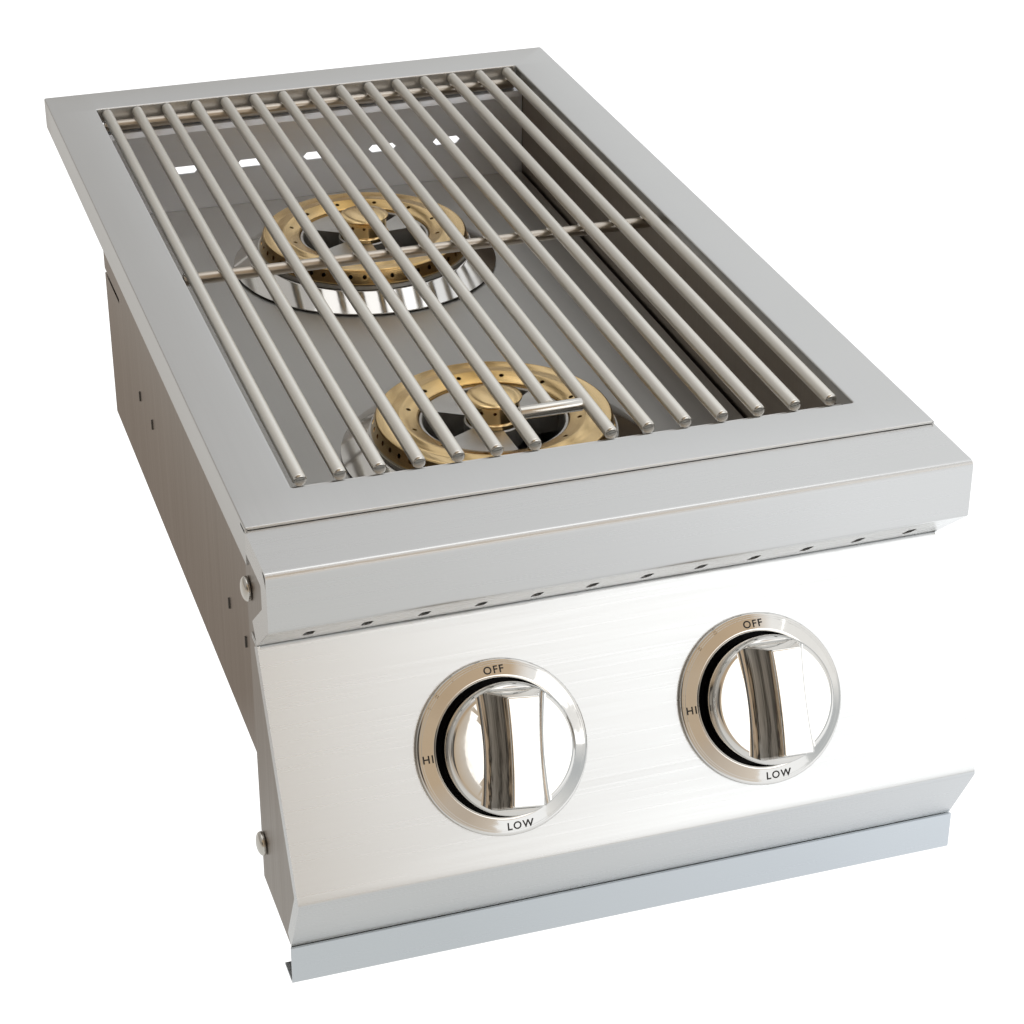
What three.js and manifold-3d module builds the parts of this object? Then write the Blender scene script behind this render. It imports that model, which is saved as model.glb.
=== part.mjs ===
// Built-in twin side burner for an outdoor kitchen: a stainless drop-in box with two brass ring burners.
// Lengths are millimetres, +X to the right, +Y to the back, +Z up.
// Pieces are laid out from the top plane (z = 0) and the joint line of frame and nose (y = 0).

import * as THREE from 'three';
import { mergeVertices } from 'three/addons/utils/BufferGeometryUtils.js';
import Module from 'manifold-3d';

const wasm = await Module();
wasm.setup();

// Sheet metal and fits
const sheet = 1.2;
const seat = 0.3;
const bend = 1.6;
const overrun = 3;
const weld = 0.5;

// Facets round turned shapes
const roundSides = 24;
const midSides = 12;
const smallSides = 8;
const bendSteps = 2;
const arcSteps = 1;

// Top frame
const frameWidth = 320;
const frameDepth = 556.5;
const sideBorder = 27;
const frontBorder = 28;
const rearBorder = 29.5;
const frameLip = 18;
const openingLip = 9;

// Nose with the row of air slots under it
const noseDepth = 38.5;
const noseHeight = 27.5;
const noseLap = 8;
const noseReturn = 11;
const ventRun = 25.9;
const ventFall = 21.8;
const ventEnd = 20.3;
const ventCount = 12;
const ventLength = 10.5;
const ventWidth = 4.5;
const ventDown = 20;

// Control panel
const panelShare = 0.7334;
const panelTilt = THREE.MathUtils.degToRad(30.4);
const panelHem = 10;
const panelReturn = 7;
const chamferRun = 19.4;
const panelTail = 11;

// Skirt under the control panel
const skirtProud = 0.5;
const skirtHeight = 20.5;
const skirtReturn = 15;

// Side plates of the control housing
const sideRear = 10;
const sideFootRise = 14.5;
const sideFootFront = 6;
const earReach = 14;
const earHalf = 11;
const boltHeadRadius = 5.6;
const boltHeadHeight = 3.6;
const boltShank = 2.2;
const boltReach = 9;
const boltNutRadius = 4.2;
const boltNutHeight = 3.4;
const boltInset = 5.8;
const boltTip = 1.2;
const boltTopDrop = 32;
const boltLowRise = 23;

// Firebox
const boxDepth = 204.5;
const wallFlange = 12;
const backWallSetback = 40;
const ledgeBend = 3.4;
const wallPastOpening = 3;
const backSlotCount = 5;
const backSlotPitch = 42;
const backSlotLength = 18;
const backSlotHeight = 5;
const backSlotDrop = 41;
const frontWallFlange = 15;
const frontLedgeLap = 2;
const frontLedgeFlange = 27;
const sideHoleRadius = 1.6;
const sideHoleDrop = 87;
const sideHoleInset = 60;
const sideNotchDrop = 106;
const sideNotchHeight = 3;
const sideNotchLength = 50;

// Floor tray and base pan
const trayDrop = 67;
const trayGap = 1.5;
const trayFlange = 12;
const trayHoleRadius = 60;
const trayCorner = 4;
const panFlange = 15;
const panVentCount = 5;
const panVentPitch = 34;
const panVentLength = 60;
const panVentWidth = 6;
const panVentOffset = 150;

// Cooking grate
const rodRadius = 3.15;
const rodCount = 15;
const rodSideGap = 3.15;
const rodFront = 10.5;
const rodRear = 2;
const rodChamfer = 0.6;
const rodTipChamfer = 1.2;
const rodSides = 8;
const fingerDepth = 39.5;
const fingerBarBack = 7;
const crossMiddleShare = 0.505;
const crossRear = 7;

// Burners, each built about its own vertical axis
const frontBurnerInset = 129;
const rearBurnerInset = 122;
const ringSides = 24;
const ringRadius = 61.8;
const ringShoulder = 59.5;
const ringCrest = 46.5;
const ringBore = 38;
const ringWall = 2.6;
const ringEase = 0.8;
const ringFoot = 55;
const ringShoulderDrop = 46.5;
const ringCrestDrop = 46;
const ringInnerDrop = 48.5;
const portCount = 48;
const portRadius = 1.1;
const portDrop = 50.5;
const portSides = 4;
const capRadius = 14.2;
const capDrop = 36;
const capDisc = 2;
const capNeck = 12.2;
const capWallRadius = 13;
const capWall = 3;
const capGroove = 0.6;
const capFlange = 2.6;
const spigotRadius = 8.7;
const spigotLength = 4.3;
const spigotWall = 1.7;

// Burner casting
const hubRadius = 15;
const armDrop = 50;
const baseFlange = 62.5;
const baseFlangeThick = 2;
const troughOuter = 54;
const troughInner = 42;
const troughWall = 2.5;
const troughFloor = 66;
const troughLipOuter = 37.7;
const troughLipInner = 35.8;
const armCentres = [24, 130, 240];
const armSpreads = [36, 36, 64];
const armHeight = 14;
const passageHeight = 5;
const passageWidth = 9;
const mixerBore = 9;
const mixerWall = 3;
const mixerFoot = 122;
const mixerFlare = 3;
const legRadius = 3.4;
const legCircle = 26;
const legAngles = [20, 139, 221];

// Polished drip bowls
const bowlRim = 77;
const bowlCollar = 57;
const bowlBend = 4;
const bowlRimDrop = 65.5;
const bowlSheet = 1;

// Burner brackets across the firebox
const bracketDrop = 138;
const bracketHalf = 20;
const bracketFlange = 12;
const tabTop = 3;
const tabHeight = 6;
const tabProud = 0.8;

// Gas train
const knobSpacing = 122;
const knobBelowMiddle = 4.2;
const pipeRadius = 10.65;
const pipeBore = 8;
const pipeEndGap = 39.3;
const pipeBelow = 28;
const pipeBehind = 36;
const pipeBossRadius = 8;
const stubRadius = 5;
const stubReach = 19;
const feedRadius = 4;
const feedBend = 12;
const pipeBendSteps = 3;
const feedSides = 6;
const feedLead = 26;
const feedClimb = 12;
const grommetRadius = 8;
const nutRadius = 6.4;
const nutSocket = 8;
const injectorFoot = 3;
const injectorFootHalf = 14;
const injectorBody = 7;
const injectorHeight = 13.4;
const injectorInletReach = 17;
const injectorHex = 5.5;
const nozzleRadius = 3.5;
const nozzleLength = 6;
const orificeRadius = 0.9;
const elbowReach = 14;
const elbowDrop = 36;
const elbowRadius = 8.5;
const hexRadius = 11;
const hexThick = 8;
const strapWidth = 16;
const strapThick = 2;
const strapShare = 0.45;
const strapFoot = 34;

// Valve, laid out along its own axis from the outer face of the control panel
const cupDepth = 10;
const bezelSheet = 1;
const bezelRadius = 38.5;
const bezelOpening = 29.7;
const bezelHeight = 3.2;
const bezelLip = 4.6;
const bezelRoll = 0.7;
const bezelStemHole = 5.5;
const capPlate = 2;
const lugLength = 44;
const lugWidth = 22;
const lugThick = 4;
const screwSpacing = 32;
const screwShank = 1.6;
const screwHead = 3.2;
const screwHeadHeight = 1.8;
const screwLength = 9;
const barrelRadius = 12.5;
const barrelEnd = 52;
const boreFloor = 4;
const plugRadius = 8;
const plugTail = 7;
const plugStart = 24;
const plugLength = 22;
const plugSocket = 12;
const gasway = 2.5;
const outletReach = 18;
const stemRadius = 4;
const stemFlat = 2.6;
const stemTip = 13;
const stemTail = 29;
const collarRadius = 6.9;
const collarThick = 1.5;
const springWire = 0.45;
const springRadius = 5.9;
const springTurns = 3.5;
const springSteps = 28;
const springSides = 4;

// Knob
const knobRadius = 28.4;
const knobFoot = 3;
const knobRim = 17;
const knobDome = 1.4;
const knobWall = 2.4;
const knobDraft = 0.9;
const knobHub = 7.5;
const gripHeight = 40;
const gripHalfWidth = 6.25;
const gripFootHalfWidth = 13;
const gripHalfLength = 24;
const gripFootHalfLength = 26;
const gripCorner = 2.4;
const gripEdge = 0.8;
const gripLevels = 5;

// Finishes
function finish(color, roughness, metalness) {
  return new THREE.MeshStandardMaterial({ color, roughness, metalness });
}

const brushed = () => finish(0xbdbdbb, 0.38, 1);
const trayGrey = () => finish(0x868580, 0.45, 1);
const rodSatin = () => finish(0xc4c0b8, 0.32, 1);
const polished = () => finish(0xd8d6d2, 0.08, 1);
const brass = () => finish(0xc9a25a, 0.3, 1);
const castAluminium = () => finish(0xb4b3ae, 0.5, 1);
const darkSteel = () => finish(0x4a4845, 0.5, 1);

// Derived planes and widths
const halfFrame = frameWidth / 2;
const openingWidth = frameWidth - 2 * sideBorder;
const openingDepth = frameDepth - frontBorder - rearBorder;
const openingFront = frontBorder;
const openingRear = frontBorder + openingDepth;
const underTop = sheet + seat;
const ventPitch = (frameWidth - 2 * ventEnd) / (ventCount - 1);
const rodPitch = (openingWidth - 2 * rodSideGap - 2 * rodRadius) / (rodCount - 1);
const skirtWidth = frameWidth + 2 * skirtProud;
const sideFoot = boxDepth - sideFootRise;
const boltLowDrop = sideFoot - boltLowRise;
const frontBurner = openingFront + frontBurnerInset;
const rearBurner = openingRear - rearBurnerInset;
const wallInner = openingWidth / 2 + underTop;
const wallOuter = wallInner + sheet;
const insideWalls = wallInner - seat;
const frontWallRear = sideRear;
const boxFront = frontWallRear + seat;
const backWall = frameDepth - backWallSetback;
const boxRear = openingRear + wallPastOpening;
const boxMiddle = (boxFront + backWall) / 2;
const plateInner = halfFrame - underTop - sheet;
const plateOuter = halfFrame - underTop;
const pipeReach = plateInner - pipeEndGap;
const strapAt = pipeReach - strapShare * (pipeReach - knobSpacing / 2 - pipeBossRadius);
const wallReach = plateInner - seat;
const rodTips = openingFront + rodFront;
const rodRest = -2 * rodRadius - seat;
const crossDrop = weld - 3 * rodRadius;
const ledgeTop = crossDrop - rodRadius - seat;
const tabCrown = -bracketDrop - tabTop;
const tabFoot = tabCrown - tabHeight;
const ventSlope = Math.hypot(ventRun, ventFall);
const noseFoot = [-noseDepth + ventRun, -underTop - noseHeight - ventFall];
const panelTop = [noseFoot[0], noseFoot[1] - seat];
const downPanel = [-Math.sin(panelTilt), -Math.cos(panelTilt)];
const skirtTop = -boxDepth + skirtHeight;
const panelLength = panelShare * (panelTop[1] - skirtTop) / Math.cos(panelTilt);
const panelFoot = panelTop.map((place, i) => place + panelLength * downPanel[i]);
const chamferFoot = [panelFoot[0] + chamferRun, skirtTop];
const skirtFront = chamferFoot[0] - underTop;
const knobDown = panelLength / 2 + knobBelowMiddle;
const knobOnPanel = panelTop.map((place, i) => place + knobDown * downPanel[i]);
const pipePlace = knobOnPanel.map((place, i) => {
  const outward = [-Math.cos(panelTilt), Math.sin(panelTilt)][i];
  return place + pipeBelow * downPanel[i] - pipeBehind * outward;
});
const bossReach = pipeBelow - barrelRadius - gasway;
const outletTop = outletReach + feedClimb;
const feedTopFront = knobOnPanel[0] - outletTop * downPanel[0] + pipeBehind * Math.cos(panelTilt);
const feedTop = knobOnPanel[1] - outletTop * downPanel[1] - pipeBehind * Math.sin(panelTilt);
const feedLow = -bracketDrop + seat + nutRadius + seat;

// Turns a closed geometry into a solid, with faces pointing out
function solid(geometry) {
  const bare = geometry.index ? geometry.toNonIndexed() : geometry.clone();
  bare.deleteAttribute('normal');
  bare.deleteAttribute('uv');
  const merged = mergeVertices(bare);
  const place = merged.attributes.position;
  const corners = merged.index.array;
  const faces = [];
  const a = new THREE.Vector3();
  const b = new THREE.Vector3();
  const c = new THREE.Vector3();
  let volume = 0;
  for (let i = 0; i < corners.length; i += 3) {
    const [p, q, r] = corners.slice(i, i + 3);
    if (p === q || q === r || r === p) continue;
    faces.push([p, q, r]);
    volume += a.fromBufferAttribute(place, p).dot(
      b.fromBufferAttribute(place, q).cross(c.fromBufferAttribute(place, r)));
  }
  const triVerts = new Uint32Array(faces.flatMap(([p, q, r]) => (volume < 0 ? [p, r, q] : [p, q, r])));
  const vertProperties = new Float32Array(place.array);
  return new wasm.Manifold(new wasm.Mesh({ numProp: 3, vertProperties, triVerts }));
}

// Turns a solid back into a geometry
function geometryOf(body) {
  const mesh = body.getMesh();
  const geometry = new THREE.BufferGeometry();
  geometry.setAttribute('position', new THREE.BufferAttribute(mesh.vertProperties, mesh.numProp));
  geometry.setIndex(new THREE.BufferAttribute(mesh.triVerts, 1));
  geometry.computeVertexNormals();
  return geometry;
}

const join = (bodies) => bodies.reduce((sum, body) => sum.add(body));
const cut = (body, tools) => tools.reduce((left, tool) => left.subtract(tool), body);

// Flat outlines, as lists of [across, up]
const points = (outline) => outline.map(([across, up]) => new THREE.Vector2(across, up));

function box(from, to) {
  const size = to.map((end, i) => end - from[i]);
  return solid(new THREE.BoxGeometry(...size).translate(...from.map((start, i) => start + size[i] / 2)));
}

function extrude(outline, depth) {
  return new THREE.ExtrudeGeometry(new THREE.Shape(points(outline)), { depth, bevelEnabled: false });
}

// A Y-Z outline carried along X, centred on x
function alongX(outline, length, x = 0) {
  const turn = new THREE.Matrix4().makeBasis(
    new THREE.Vector3(0, 1, 0), new THREE.Vector3(0, 0, 1), new THREE.Vector3(1, 0, 0));
  return solid(extrude(outline, length).applyMatrix4(turn).translate(x - length / 2, 0, 0));
}

// An X-Y outline carried up from z
function alongZ(outline, height, z) {
  return solid(extrude(outline, height).translate(0, 0, z));
}

// An X-Z outline carried along Y between two places
function alongY(outline, from, to) {
  const turn = new THREE.Matrix4().makeBasis(
    new THREE.Vector3(1, 0, 0), new THREE.Vector3(0, 0, 1), new THREE.Vector3(0, -1, 0));
  return solid(extrude(outline, to - from).applyMatrix4(turn).translate(0, to, 0));
}

// A cylinder between two heights of a frame whose axis is Z
function drum(radius, from, to, sides = midSides, move = new THREE.Matrix4()) {
  const body = new THREE.CylinderGeometry(radius, radius, to - from, sides);
  return solid(body.rotateX(Math.PI / 2).translate(0, 0, (from + to) / 2).applyMatrix4(move));
}

// A turned shape about Z, from [radius, height] pairs
function revolve(profile, sides) {
  const onAxis = profile[0][0] === 0;
  const loop = onAxis ? profile : [...profile, profile[0]];
  return solid(new THREE.LatheGeometry(points(loop), sides).rotateX(Math.PI / 2));
}

// A frame placed at a point, with its Z axis turned to a direction
function aim(origin, direction) {
  const turn = new THREE.Quaternion().setFromUnitVectors(
    new THREE.Vector3(0, 0, 1), new THREE.Vector3(...direction).normalize());
  return new THREE.Matrix4().compose(new THREE.Vector3(...origin), turn, new THREE.Vector3(1, 1, 1));
}

// A slot with round ends, centred on zero, long across
function slot(length, width, steps = arcSteps) {
  const reach = (length - width) / 2;
  const outline = new THREE.Shape();
  outline.absarc(reach, 0, width / 2, -Math.PI / 2, Math.PI / 2, false);
  outline.absarc(-reach, 0, width / 2, Math.PI / 2, Math.PI * 3 / 2, false);
  return outline.getPoints(steps).map(({ x, y }) => [x, y]);
}

// A rectangle with round corners, centred on zero
function roundRect(halfX, halfY, radius, steps = arcSteps) {
  const outline = new THREE.Shape();
  outline.absarc(halfX - radius, -halfY + radius, radius, -Math.PI / 2, 0, false);
  outline.absarc(halfX - radius, halfY - radius, radius, 0, Math.PI / 2, false);
  outline.absarc(-halfX + radius, halfY - radius, radius, Math.PI / 2, Math.PI, false);
  outline.absarc(-halfX + radius, -halfY + radius, radius, Math.PI, Math.PI * 3 / 2, false);
  return outline.getPoints(steps).map(({ x, y }) => [x, y]);
}

// The line a given way to the left of a line of corners
function leftOf(corners, distance) {
  const normals = corners.slice(1).map((corner, i) => {
    const along = new THREE.Vector2(corner[0] - corners[i][0], corner[1] - corners[i][1]).normalize();
    return new THREE.Vector2(-along.y, along.x);
  });
  return corners.map(([across, up], i) => {
    const before = normals[Math.max(i - 1, 0)];
    const after = normals[Math.min(i, normals.length - 1)];
    const step = before.clone().add(after).multiplyScalar(distance / (1 + before.dot(after)));
    return [across + step.x, up + step.y];
  });
}

// A line of corners with each corner rounded
function rounded(corners, radiusOfTurn, steps = bendSteps) {
  return corners.flatMap((corner, i) => {
    if (i === 0 || i === corners.length - 1) return [corner];
    const [v, u, w] = [corner, corners[i - 1], corners[i + 1]].map((place) => new THREE.Vector2(...place));
    const arrive = v.clone().sub(u).normalize();
    const leave = w.clone().sub(v).normalize();
    const turn = Math.atan2(arrive.cross(leave), arrive.dot(leave));
    const radius = radiusOfTurn(turn);
    const start = v.clone().addScaledVector(arrive, -radius * Math.tan(Math.abs(turn) / 2));
    const side = Math.sign(turn);
    const centre = start.clone().add(new THREE.Vector2(-arrive.y, arrive.x).multiplyScalar(side * radius));
    return Array.from({ length: steps + 1 }, (_, k) => {
      const place = start.clone().rotateAround(centre, turn * k / steps);
      return [place.x, place.y];
    });
  });
}

// The cross-section of sheet folded along a line of corners, its thickness to the left
function folded(corners, thickness = sheet, radius = bend) {
  const near = rounded(corners, (turn) => (turn > 0 ? radius + thickness : radius));
  const far = rounded(leftOf(corners, thickness), (turn) => (turn > 0 ? radius : radius + thickness));
  return [...near, ...far.reverse()];
}

// A section swept round a rectangle with mitred corners.
// Each section point is [share of the way from inner to outer rectangle, step outward, height].
function mitred(section, inner, outer) {
  const signs = [[-1, -1], [1, -1], [1, 1], [-1, 1]];
  const place = signs.flatMap((sign) => section.flatMap(([share, step, height]) => {
    const flat = sign.map((s, axis) => {
      const end = s < 0 ? 0 : 1;
      return THREE.MathUtils.lerp(inner[axis][end], outer[axis][end], share) + s * step;
    });
    return [...flat, height];
  }));
  const count = section.length;
  const index = signs.flatMap((_, corner) => section.flatMap((__, i) => {
    const next = (corner + 1) % signs.length;
    const j = (i + 1) % count;
    const [p, q, r, t] = [corner * count + i, next * count + i, next * count + j, corner * count + j];
    return [p, q, r, p, r, t];
  }));
  const geometry = new THREE.BufferGeometry();
  geometry.setAttribute('position', new THREE.Float32BufferAttribute(place, 3));
  geometry.setIndex(index);
  return solid(geometry);
}

// A closed skin through rings of equal point counts, from bottom to top
function loft(rings) {
  const count = rings[0].length;
  const place = rings.flat(2);
  const index = [];
  for (let level = 0; level + 1 < rings.length; level += 1) {
    for (let i = 0; i < count; i += 1) {
      const j = (i + 1) % count;
      const [p, q] = [level * count + i, level * count + j];
      index.push(p, q, q + count, p, q + count, p + count);
    }
  }
  const last = (rings.length - 1) * count;
  for (let i = 1; i + 1 < count; i += 1) {
    index.push(0, i + 1, i);
    index.push(last, last + i, last + i + 1);
  }
  const geometry = new THREE.BufferGeometry();
  geometry.setAttribute('position', new THREE.Float32BufferAttribute(place, 3));
  geometry.setIndex(index);
  return solid(geometry);
}

// A round bar along a line of corners with curved bends
function bentBar(corners, radius, bendRadius, sides) {
  const stops = corners.map((corner) => new THREE.Vector3(...corner));
  const last = stops.length - 1;
  const towards = (from, to) => stops[to].clone().sub(stops[from]).normalize();
  const stations = stops.flatMap((stop, i) => {
    if (i === 0) return [{ place: stop, along: towards(0, 1) }];
    if (i === last) return [{ place: stop, along: towards(last - 1, last) }];
    const into = stop.clone().addScaledVector(towards(i - 1, i), -bendRadius);
    const out = stop.clone().addScaledVector(towards(i, i + 1), bendRadius);
    const curve = new THREE.QuadraticBezierCurve3(into, stop, out);
    return Array.from({ length: pipeBendSteps + 1 }, (_, k) => (
      { place: curve.getPoint(k / pipeBendSteps), along: curve.getTangent(k / pipeBendSteps) }));
  });
  const turn = new THREE.Quaternion();
  const sideways = new THREE.Vector3(1, 0, 0).cross(stations[0].along).normalize();
  return loft(stations.map(({ place, along }, i) => {
    if (i > 0) sideways.applyQuaternion(turn.setFromUnitVectors(stations[i - 1].along, along));
    return Array.from({ length: sides }, (_, k) => sideways.clone()
      .applyAxisAngle(along, 2 * Math.PI * k / sides).multiplyScalar(radius).add(place).toArray());
  }));
}

function sweep(path, radius, steps, sides) {
  const section = Array.from({ length: sides }, (_, i) => {
    const angle = 2 * Math.PI * i / sides;
    return [radius * Math.cos(angle), radius * Math.sin(angle)];
  });
  const shape = new THREE.Shape(points(section));
  return solid(new THREE.ExtrudeGeometry(shape, { extrudePath: path, steps, curveSegments: 1 }));
}

const object = new THREE.Group();

function add(name, body, material, parent = object) {
  const mesh = new THREE.Mesh(geometryOf(body), material);
  mesh.name = name;
  parent.add(mesh);
  return mesh;
}

// Top frame: one drawn sheet with lips round the opening and along the sides and back
function topFrame() {
  const arc = [0, 30, 60, 90].map((degrees) => THREE.MathUtils.degToRad(degrees));
  const reach = bend + sheet;
  const inner = [[-openingWidth / 2, openingWidth / 2], [openingFront, openingRear]];
  const outer = [[-halfFrame, halfFrame], [0, frameDepth]];
  const section = [
    [0, 0, -openingLip],
    ...arc.map((a) => [0, reach * (1 - Math.cos(a)), reach * (Math.sin(a) - 1)]),
    ...arc.map((a) => [1, -reach * (1 - Math.sin(a)), reach * (Math.cos(a) - 1)]),
    [1, 0, -frameLip],
    [1, -sheet, -frameLip],
    ...arc.map((a) => [1, -sheet - bend * (1 - Math.cos(a)), -sheet - bend * (1 - Math.sin(a))]),
    ...arc.map((a) => [0, sheet + bend * (1 - Math.sin(a)), -sheet - bend * (1 - Math.cos(a))]),
    [0, sheet, -openingLip],
  ];
  const frontLip = box(
    [-halfFrame + sheet, -overrun, -frameLip - overrun], [halfFrame - sheet, reach, -sheet]);
  return cut(mitred(section, inner, outer), [frontLip]);
}

// The two ends of a span on one side of the middle, low end first
const onSide = (side, near, far) => [side * near, side * far].sort((p, q) => p - q);

// Nose: the folded front rail, with the air slots in its lower slope
const noseLine = [
  [noseLap, -underTop],
  [-noseDepth, -underTop],
  [-noseDepth, -underTop - noseHeight],
  noseFoot,
  [noseFoot[0] + panelHem, noseFoot[1]],
];

function airSlots() {
  const share = ventDown / ventSlope;
  const place = [-noseDepth + share * ventRun, -underTop - noseHeight - share * ventFall];
  const turn = new THREE.Matrix4().makeBasis(
    new THREE.Vector3(0, ventRun, -ventFall).normalize(),
    new THREE.Vector3(1, 0, 0),
    new THREE.Vector3(0, -ventFall, -ventRun).normalize());
  return Array.from({ length: ventCount }, (_, i) => {
    const x = (i - (ventCount - 1) / 2) * ventPitch;
    const tool = extrude(slot(ventLength, ventWidth), 2 * overrun).translate(0, 0, -overrun);
    return solid(tool.applyMatrix4(turn).translate(x, ...place));
  });
}

function noseTrim() {
  const rail = alongX(folded(noseLine), frameWidth);
  const returns = [-1, 1].map((side) => alongX(
    folded(noseLine.slice(0, 4), noseReturn), sheet, side * (halfFrame - sheet / 2)));
  const reliefs = [-1, 1].flatMap((side) => {
    const [low, high] = onSide(side, wallReach, halfFrame + overrun);
    const [lipLow, lipHigh] = onSide(side, halfFrame - sheet - bend - seat, halfFrame + overrun);
    return [
      box([low, noseFoot[0] + bend, noseFoot[1] - overrun],
        [high, noseFoot[0] + panelHem + overrun, noseFoot[1] + bend + sheet]),
      box([lipLow, -seat, -frameLip - seat], [lipHigh, noseLap + overrun, 0]),
    ];
  });
  return cut(join([rail, ...returns]), [...reliefs, ...airSlots()]);
}

// Control panel: hem, sloping face with two valve holes, chamfer and tail behind the skirt
const panelLine = [
  [panelTop[0] + panelHem, panelTop[1]],
  panelTop,
  panelFoot,
  chamferFoot,
  [chamferFoot[0], chamferFoot[1] - panelTail],
];

// The frame of a valve: origin on the panel face, Z out along the valve axis, Y up the panel
function valveFrame(side) {
  return new THREE.Matrix4()
    .makeRotationX(Math.PI / 2 - panelTilt)
    .setPosition(side * knobSpacing / 2, ...knobOnPanel);
}

function controlPanel() {
  const face = alongX(folded(panelLine), frameWidth);
  const returns = [-1, 1].map((side) => alongX(
    folded(panelLine.slice(1, 4), panelReturn), sheet, side * (halfFrame - sheet / 2)));
  const reliefs = [-1, 1].flatMap((side) => {
    const [low, high] = onSide(side, wallReach, halfFrame + overrun);
    return [
      box([low, panelTop[0] + sheet, panelTop[1] - sheet - bend],
        [high, panelTop[0] + panelHem + overrun, panelTop[1] + overrun]),
      box([low, chamferFoot[0] - overrun, chamferFoot[1] - panelTail - overrun],
        [high, chamferFoot[0] + sheet + bend, chamferFoot[1]]),
    ];
  });
  const holeRadius = bezelOpening + bezelSheet + seat;
  const holes = [-1, 1].map((side) => drum(holeRadius, -overrun, overrun, roundSides, valveFrame(side)));
  return cut(join([face, ...returns]), [...reliefs, ...holes]);
}

// Skirt strip across the foot of the panel
function skirtStrip() {
  const line = [
    [skirtFront, skirtTop],
    [skirtFront, -boxDepth],
    [skirtFront + skirtReturn, -boxDepth],
  ];
  return alongX(folded(line), skirtWidth);
}

// Side bolts, on the line of the front wall's ears
const boltPlaces = [boltTopDrop, boltLowDrop].map((drop) => [sideRear - boltInset, -drop]);

function boltHoles(side) {
  const [from, to] = [plateInner - boltReach, halfFrame + overrun];
  return boltPlaces.map(([y, z]) => drum(
    boltShank + seat, from, to, smallSides, aim([0, y, z], [side, 0, 0])));
}

// Side plate of the control housing, following the nose, the vent slope, the panel and the chamfer
function controlSide(side) {
  const nose = leftOf(noseLine, underTop).slice(1, 4);
  const panel = leftOf(panelLine, underTop).slice(1, 4);
  const neck = noseFoot[0] + bend + seat;
  const outline = [
    [sideRear, nose[0][1]],
    nose[0],
    nose[1],
    [neck, nose[2][1]],
    [neck, panel[0][1]],
    panel[1],
    panel[2],
    [panel[2][0] + sideFootFront, -sideFoot],
    [sideRear, -sideFoot],
  ];
  const plate = alongX(rounded(outline, () => bend), sheet, side * (plateInner + sheet / 2));
  return cut(plate, boltHoles(side));
}

// Domed bolt through a side plate and an ear of the front wall, with its nut, along Z
function sideBolt() {
  const face = plateOuter + seat;
  const nutFace = wallReach - sheet - seat;
  const shoulder = face + boltHeadHeight / 3;
  const dome = [30, 60].map((degrees) => {
    const angle = THREE.MathUtils.degToRad(degrees);
    const rise = (face + boltHeadHeight - shoulder) * Math.sin(angle);
    return [boltHeadRadius * Math.cos(angle), shoulder + rise];
  });
  const tip = nutFace - boltNutHeight - boltTip;
  const bolt = revolve([
    [0, tip],
    [boltShank, tip],
    [boltShank, face],
    [boltHeadRadius, face],
    [boltHeadRadius, shoulder],
    ...dome,
    [0, face + boltHeadHeight],
  ], smallSides + 2);
  return join([bolt, drum(boltNutRadius, nutFace - boltNutHeight, nutFace, 6)]);
}

// Front wall between the control housing and the firebox, with ears for the side bolts
function frontWall() {
  const front = frontWallRear - sheet;
  const plate = box([-wallReach, front, -sideFoot], [wallReach, frontWallRear, -underTop]);
  const flangeLine = [
    [front + frontWallFlange, -underTop],
    [front, -underTop],
    [front, -underTop - frontWallFlange],
  ];
  const flange = alongX(folded(flangeLine), 2 * insideWalls);
  const ears = [-1, 1].flatMap((side) => boltPlaces.map(([, z]) => {
    const [low, high] = onSide(side, wallReach - sheet, wallReach);
    return box([low, front - earReach, z - earHalf], [high, front + weld, z + earHalf]);
  }));
  const holes = [-1, 1].map((side) => drum(
    grommetRadius, front - overrun, frontWallRear + overrun, midSides,
    aim([side * knobSpacing / 2, 0, feedTop], [0, 1, 0])));
  return cut(join([plate, flange, ...ears]), [...holes, ...boltHoles(-1), ...boltHoles(1)]);
}

// Side wall of the firebox, folded outward under the top frame and against the front wall
function fireboxSide(side) {
  const line = [
    [wallOuter + wallFlange, -underTop],
    [wallInner, -underTop],
    [wallInner, -boxDepth],
  ];
  const outline = folded(line).map(([x, z]) => [side * x, z]);
  const wall = alongY(outline, boxFront, boxRear);
  const [low, high] = onSide(side, wallInner, wallOuter + wallFlange);
  const front = box([low, boxFront, -sideFoot], [high, boxFront + sheet, -underTop]);
  const [near, far] = onSide(side, wallInner - overrun, wallOuter + overrun);
  const across = aim([0, boxRear - sideHoleInset, -sideHoleDrop], [side, 0, 0]);
  const hole = drum(sideHoleRadius, wallInner - overrun, wallOuter + overrun, smallSides, across);
  const notch = box(
    [near, boxRear - sideNotchLength, -sideNotchDrop - sideNotchHeight / 2],
    [far, boxRear + overrun, -sideNotchDrop + sideNotchHeight / 2]);
  const tabSlots = [frontBurner, rearBurner].flatMap((burner) => [-1, 1].map((edge) => {
    const [start, end] = onSide(edge, bracketHalf - sheet, bracketHalf);
    return box([near, burner + start - seat, tabFoot - seat], [far, burner + end + seat, tabCrown + seat]);
  }));
  return cut(join([wall, front]), [hole, notch, ...tabSlots]);
}

// Back wall, folded to the rear into the ledge that carries the grate, with its air slots
function backWallPanel() {
  const rear = boxRear - seat;
  const line = [[rear, ledgeTop], [backWall, ledgeTop], [backWall, -boxDepth]];
  const wall = alongX(folded(line, sheet, ledgeBend), 2 * insideWalls);
  const flanges = [-1, 1].map((side) => {
    const [low, high] = onSide(side, insideWalls - sheet, insideWalls);
    return box([low, backWall, -boxDepth], [high, rear, ledgeTop - sheet - ledgeBend]);
  });
  const slots = Array.from({ length: backSlotCount }, (_, i) => {
    const x = (i - (backSlotCount - 1) / 2) * backSlotPitch;
    const outline = slot(backSlotLength, backSlotHeight)
      .map(([across, up]) => [x + across, up - backSlotDrop]);
    return alongY(outline, backWall - overrun, backWall + overrun);
  });
  return cut(join([wall, ...flanges]), slots);
}

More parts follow.
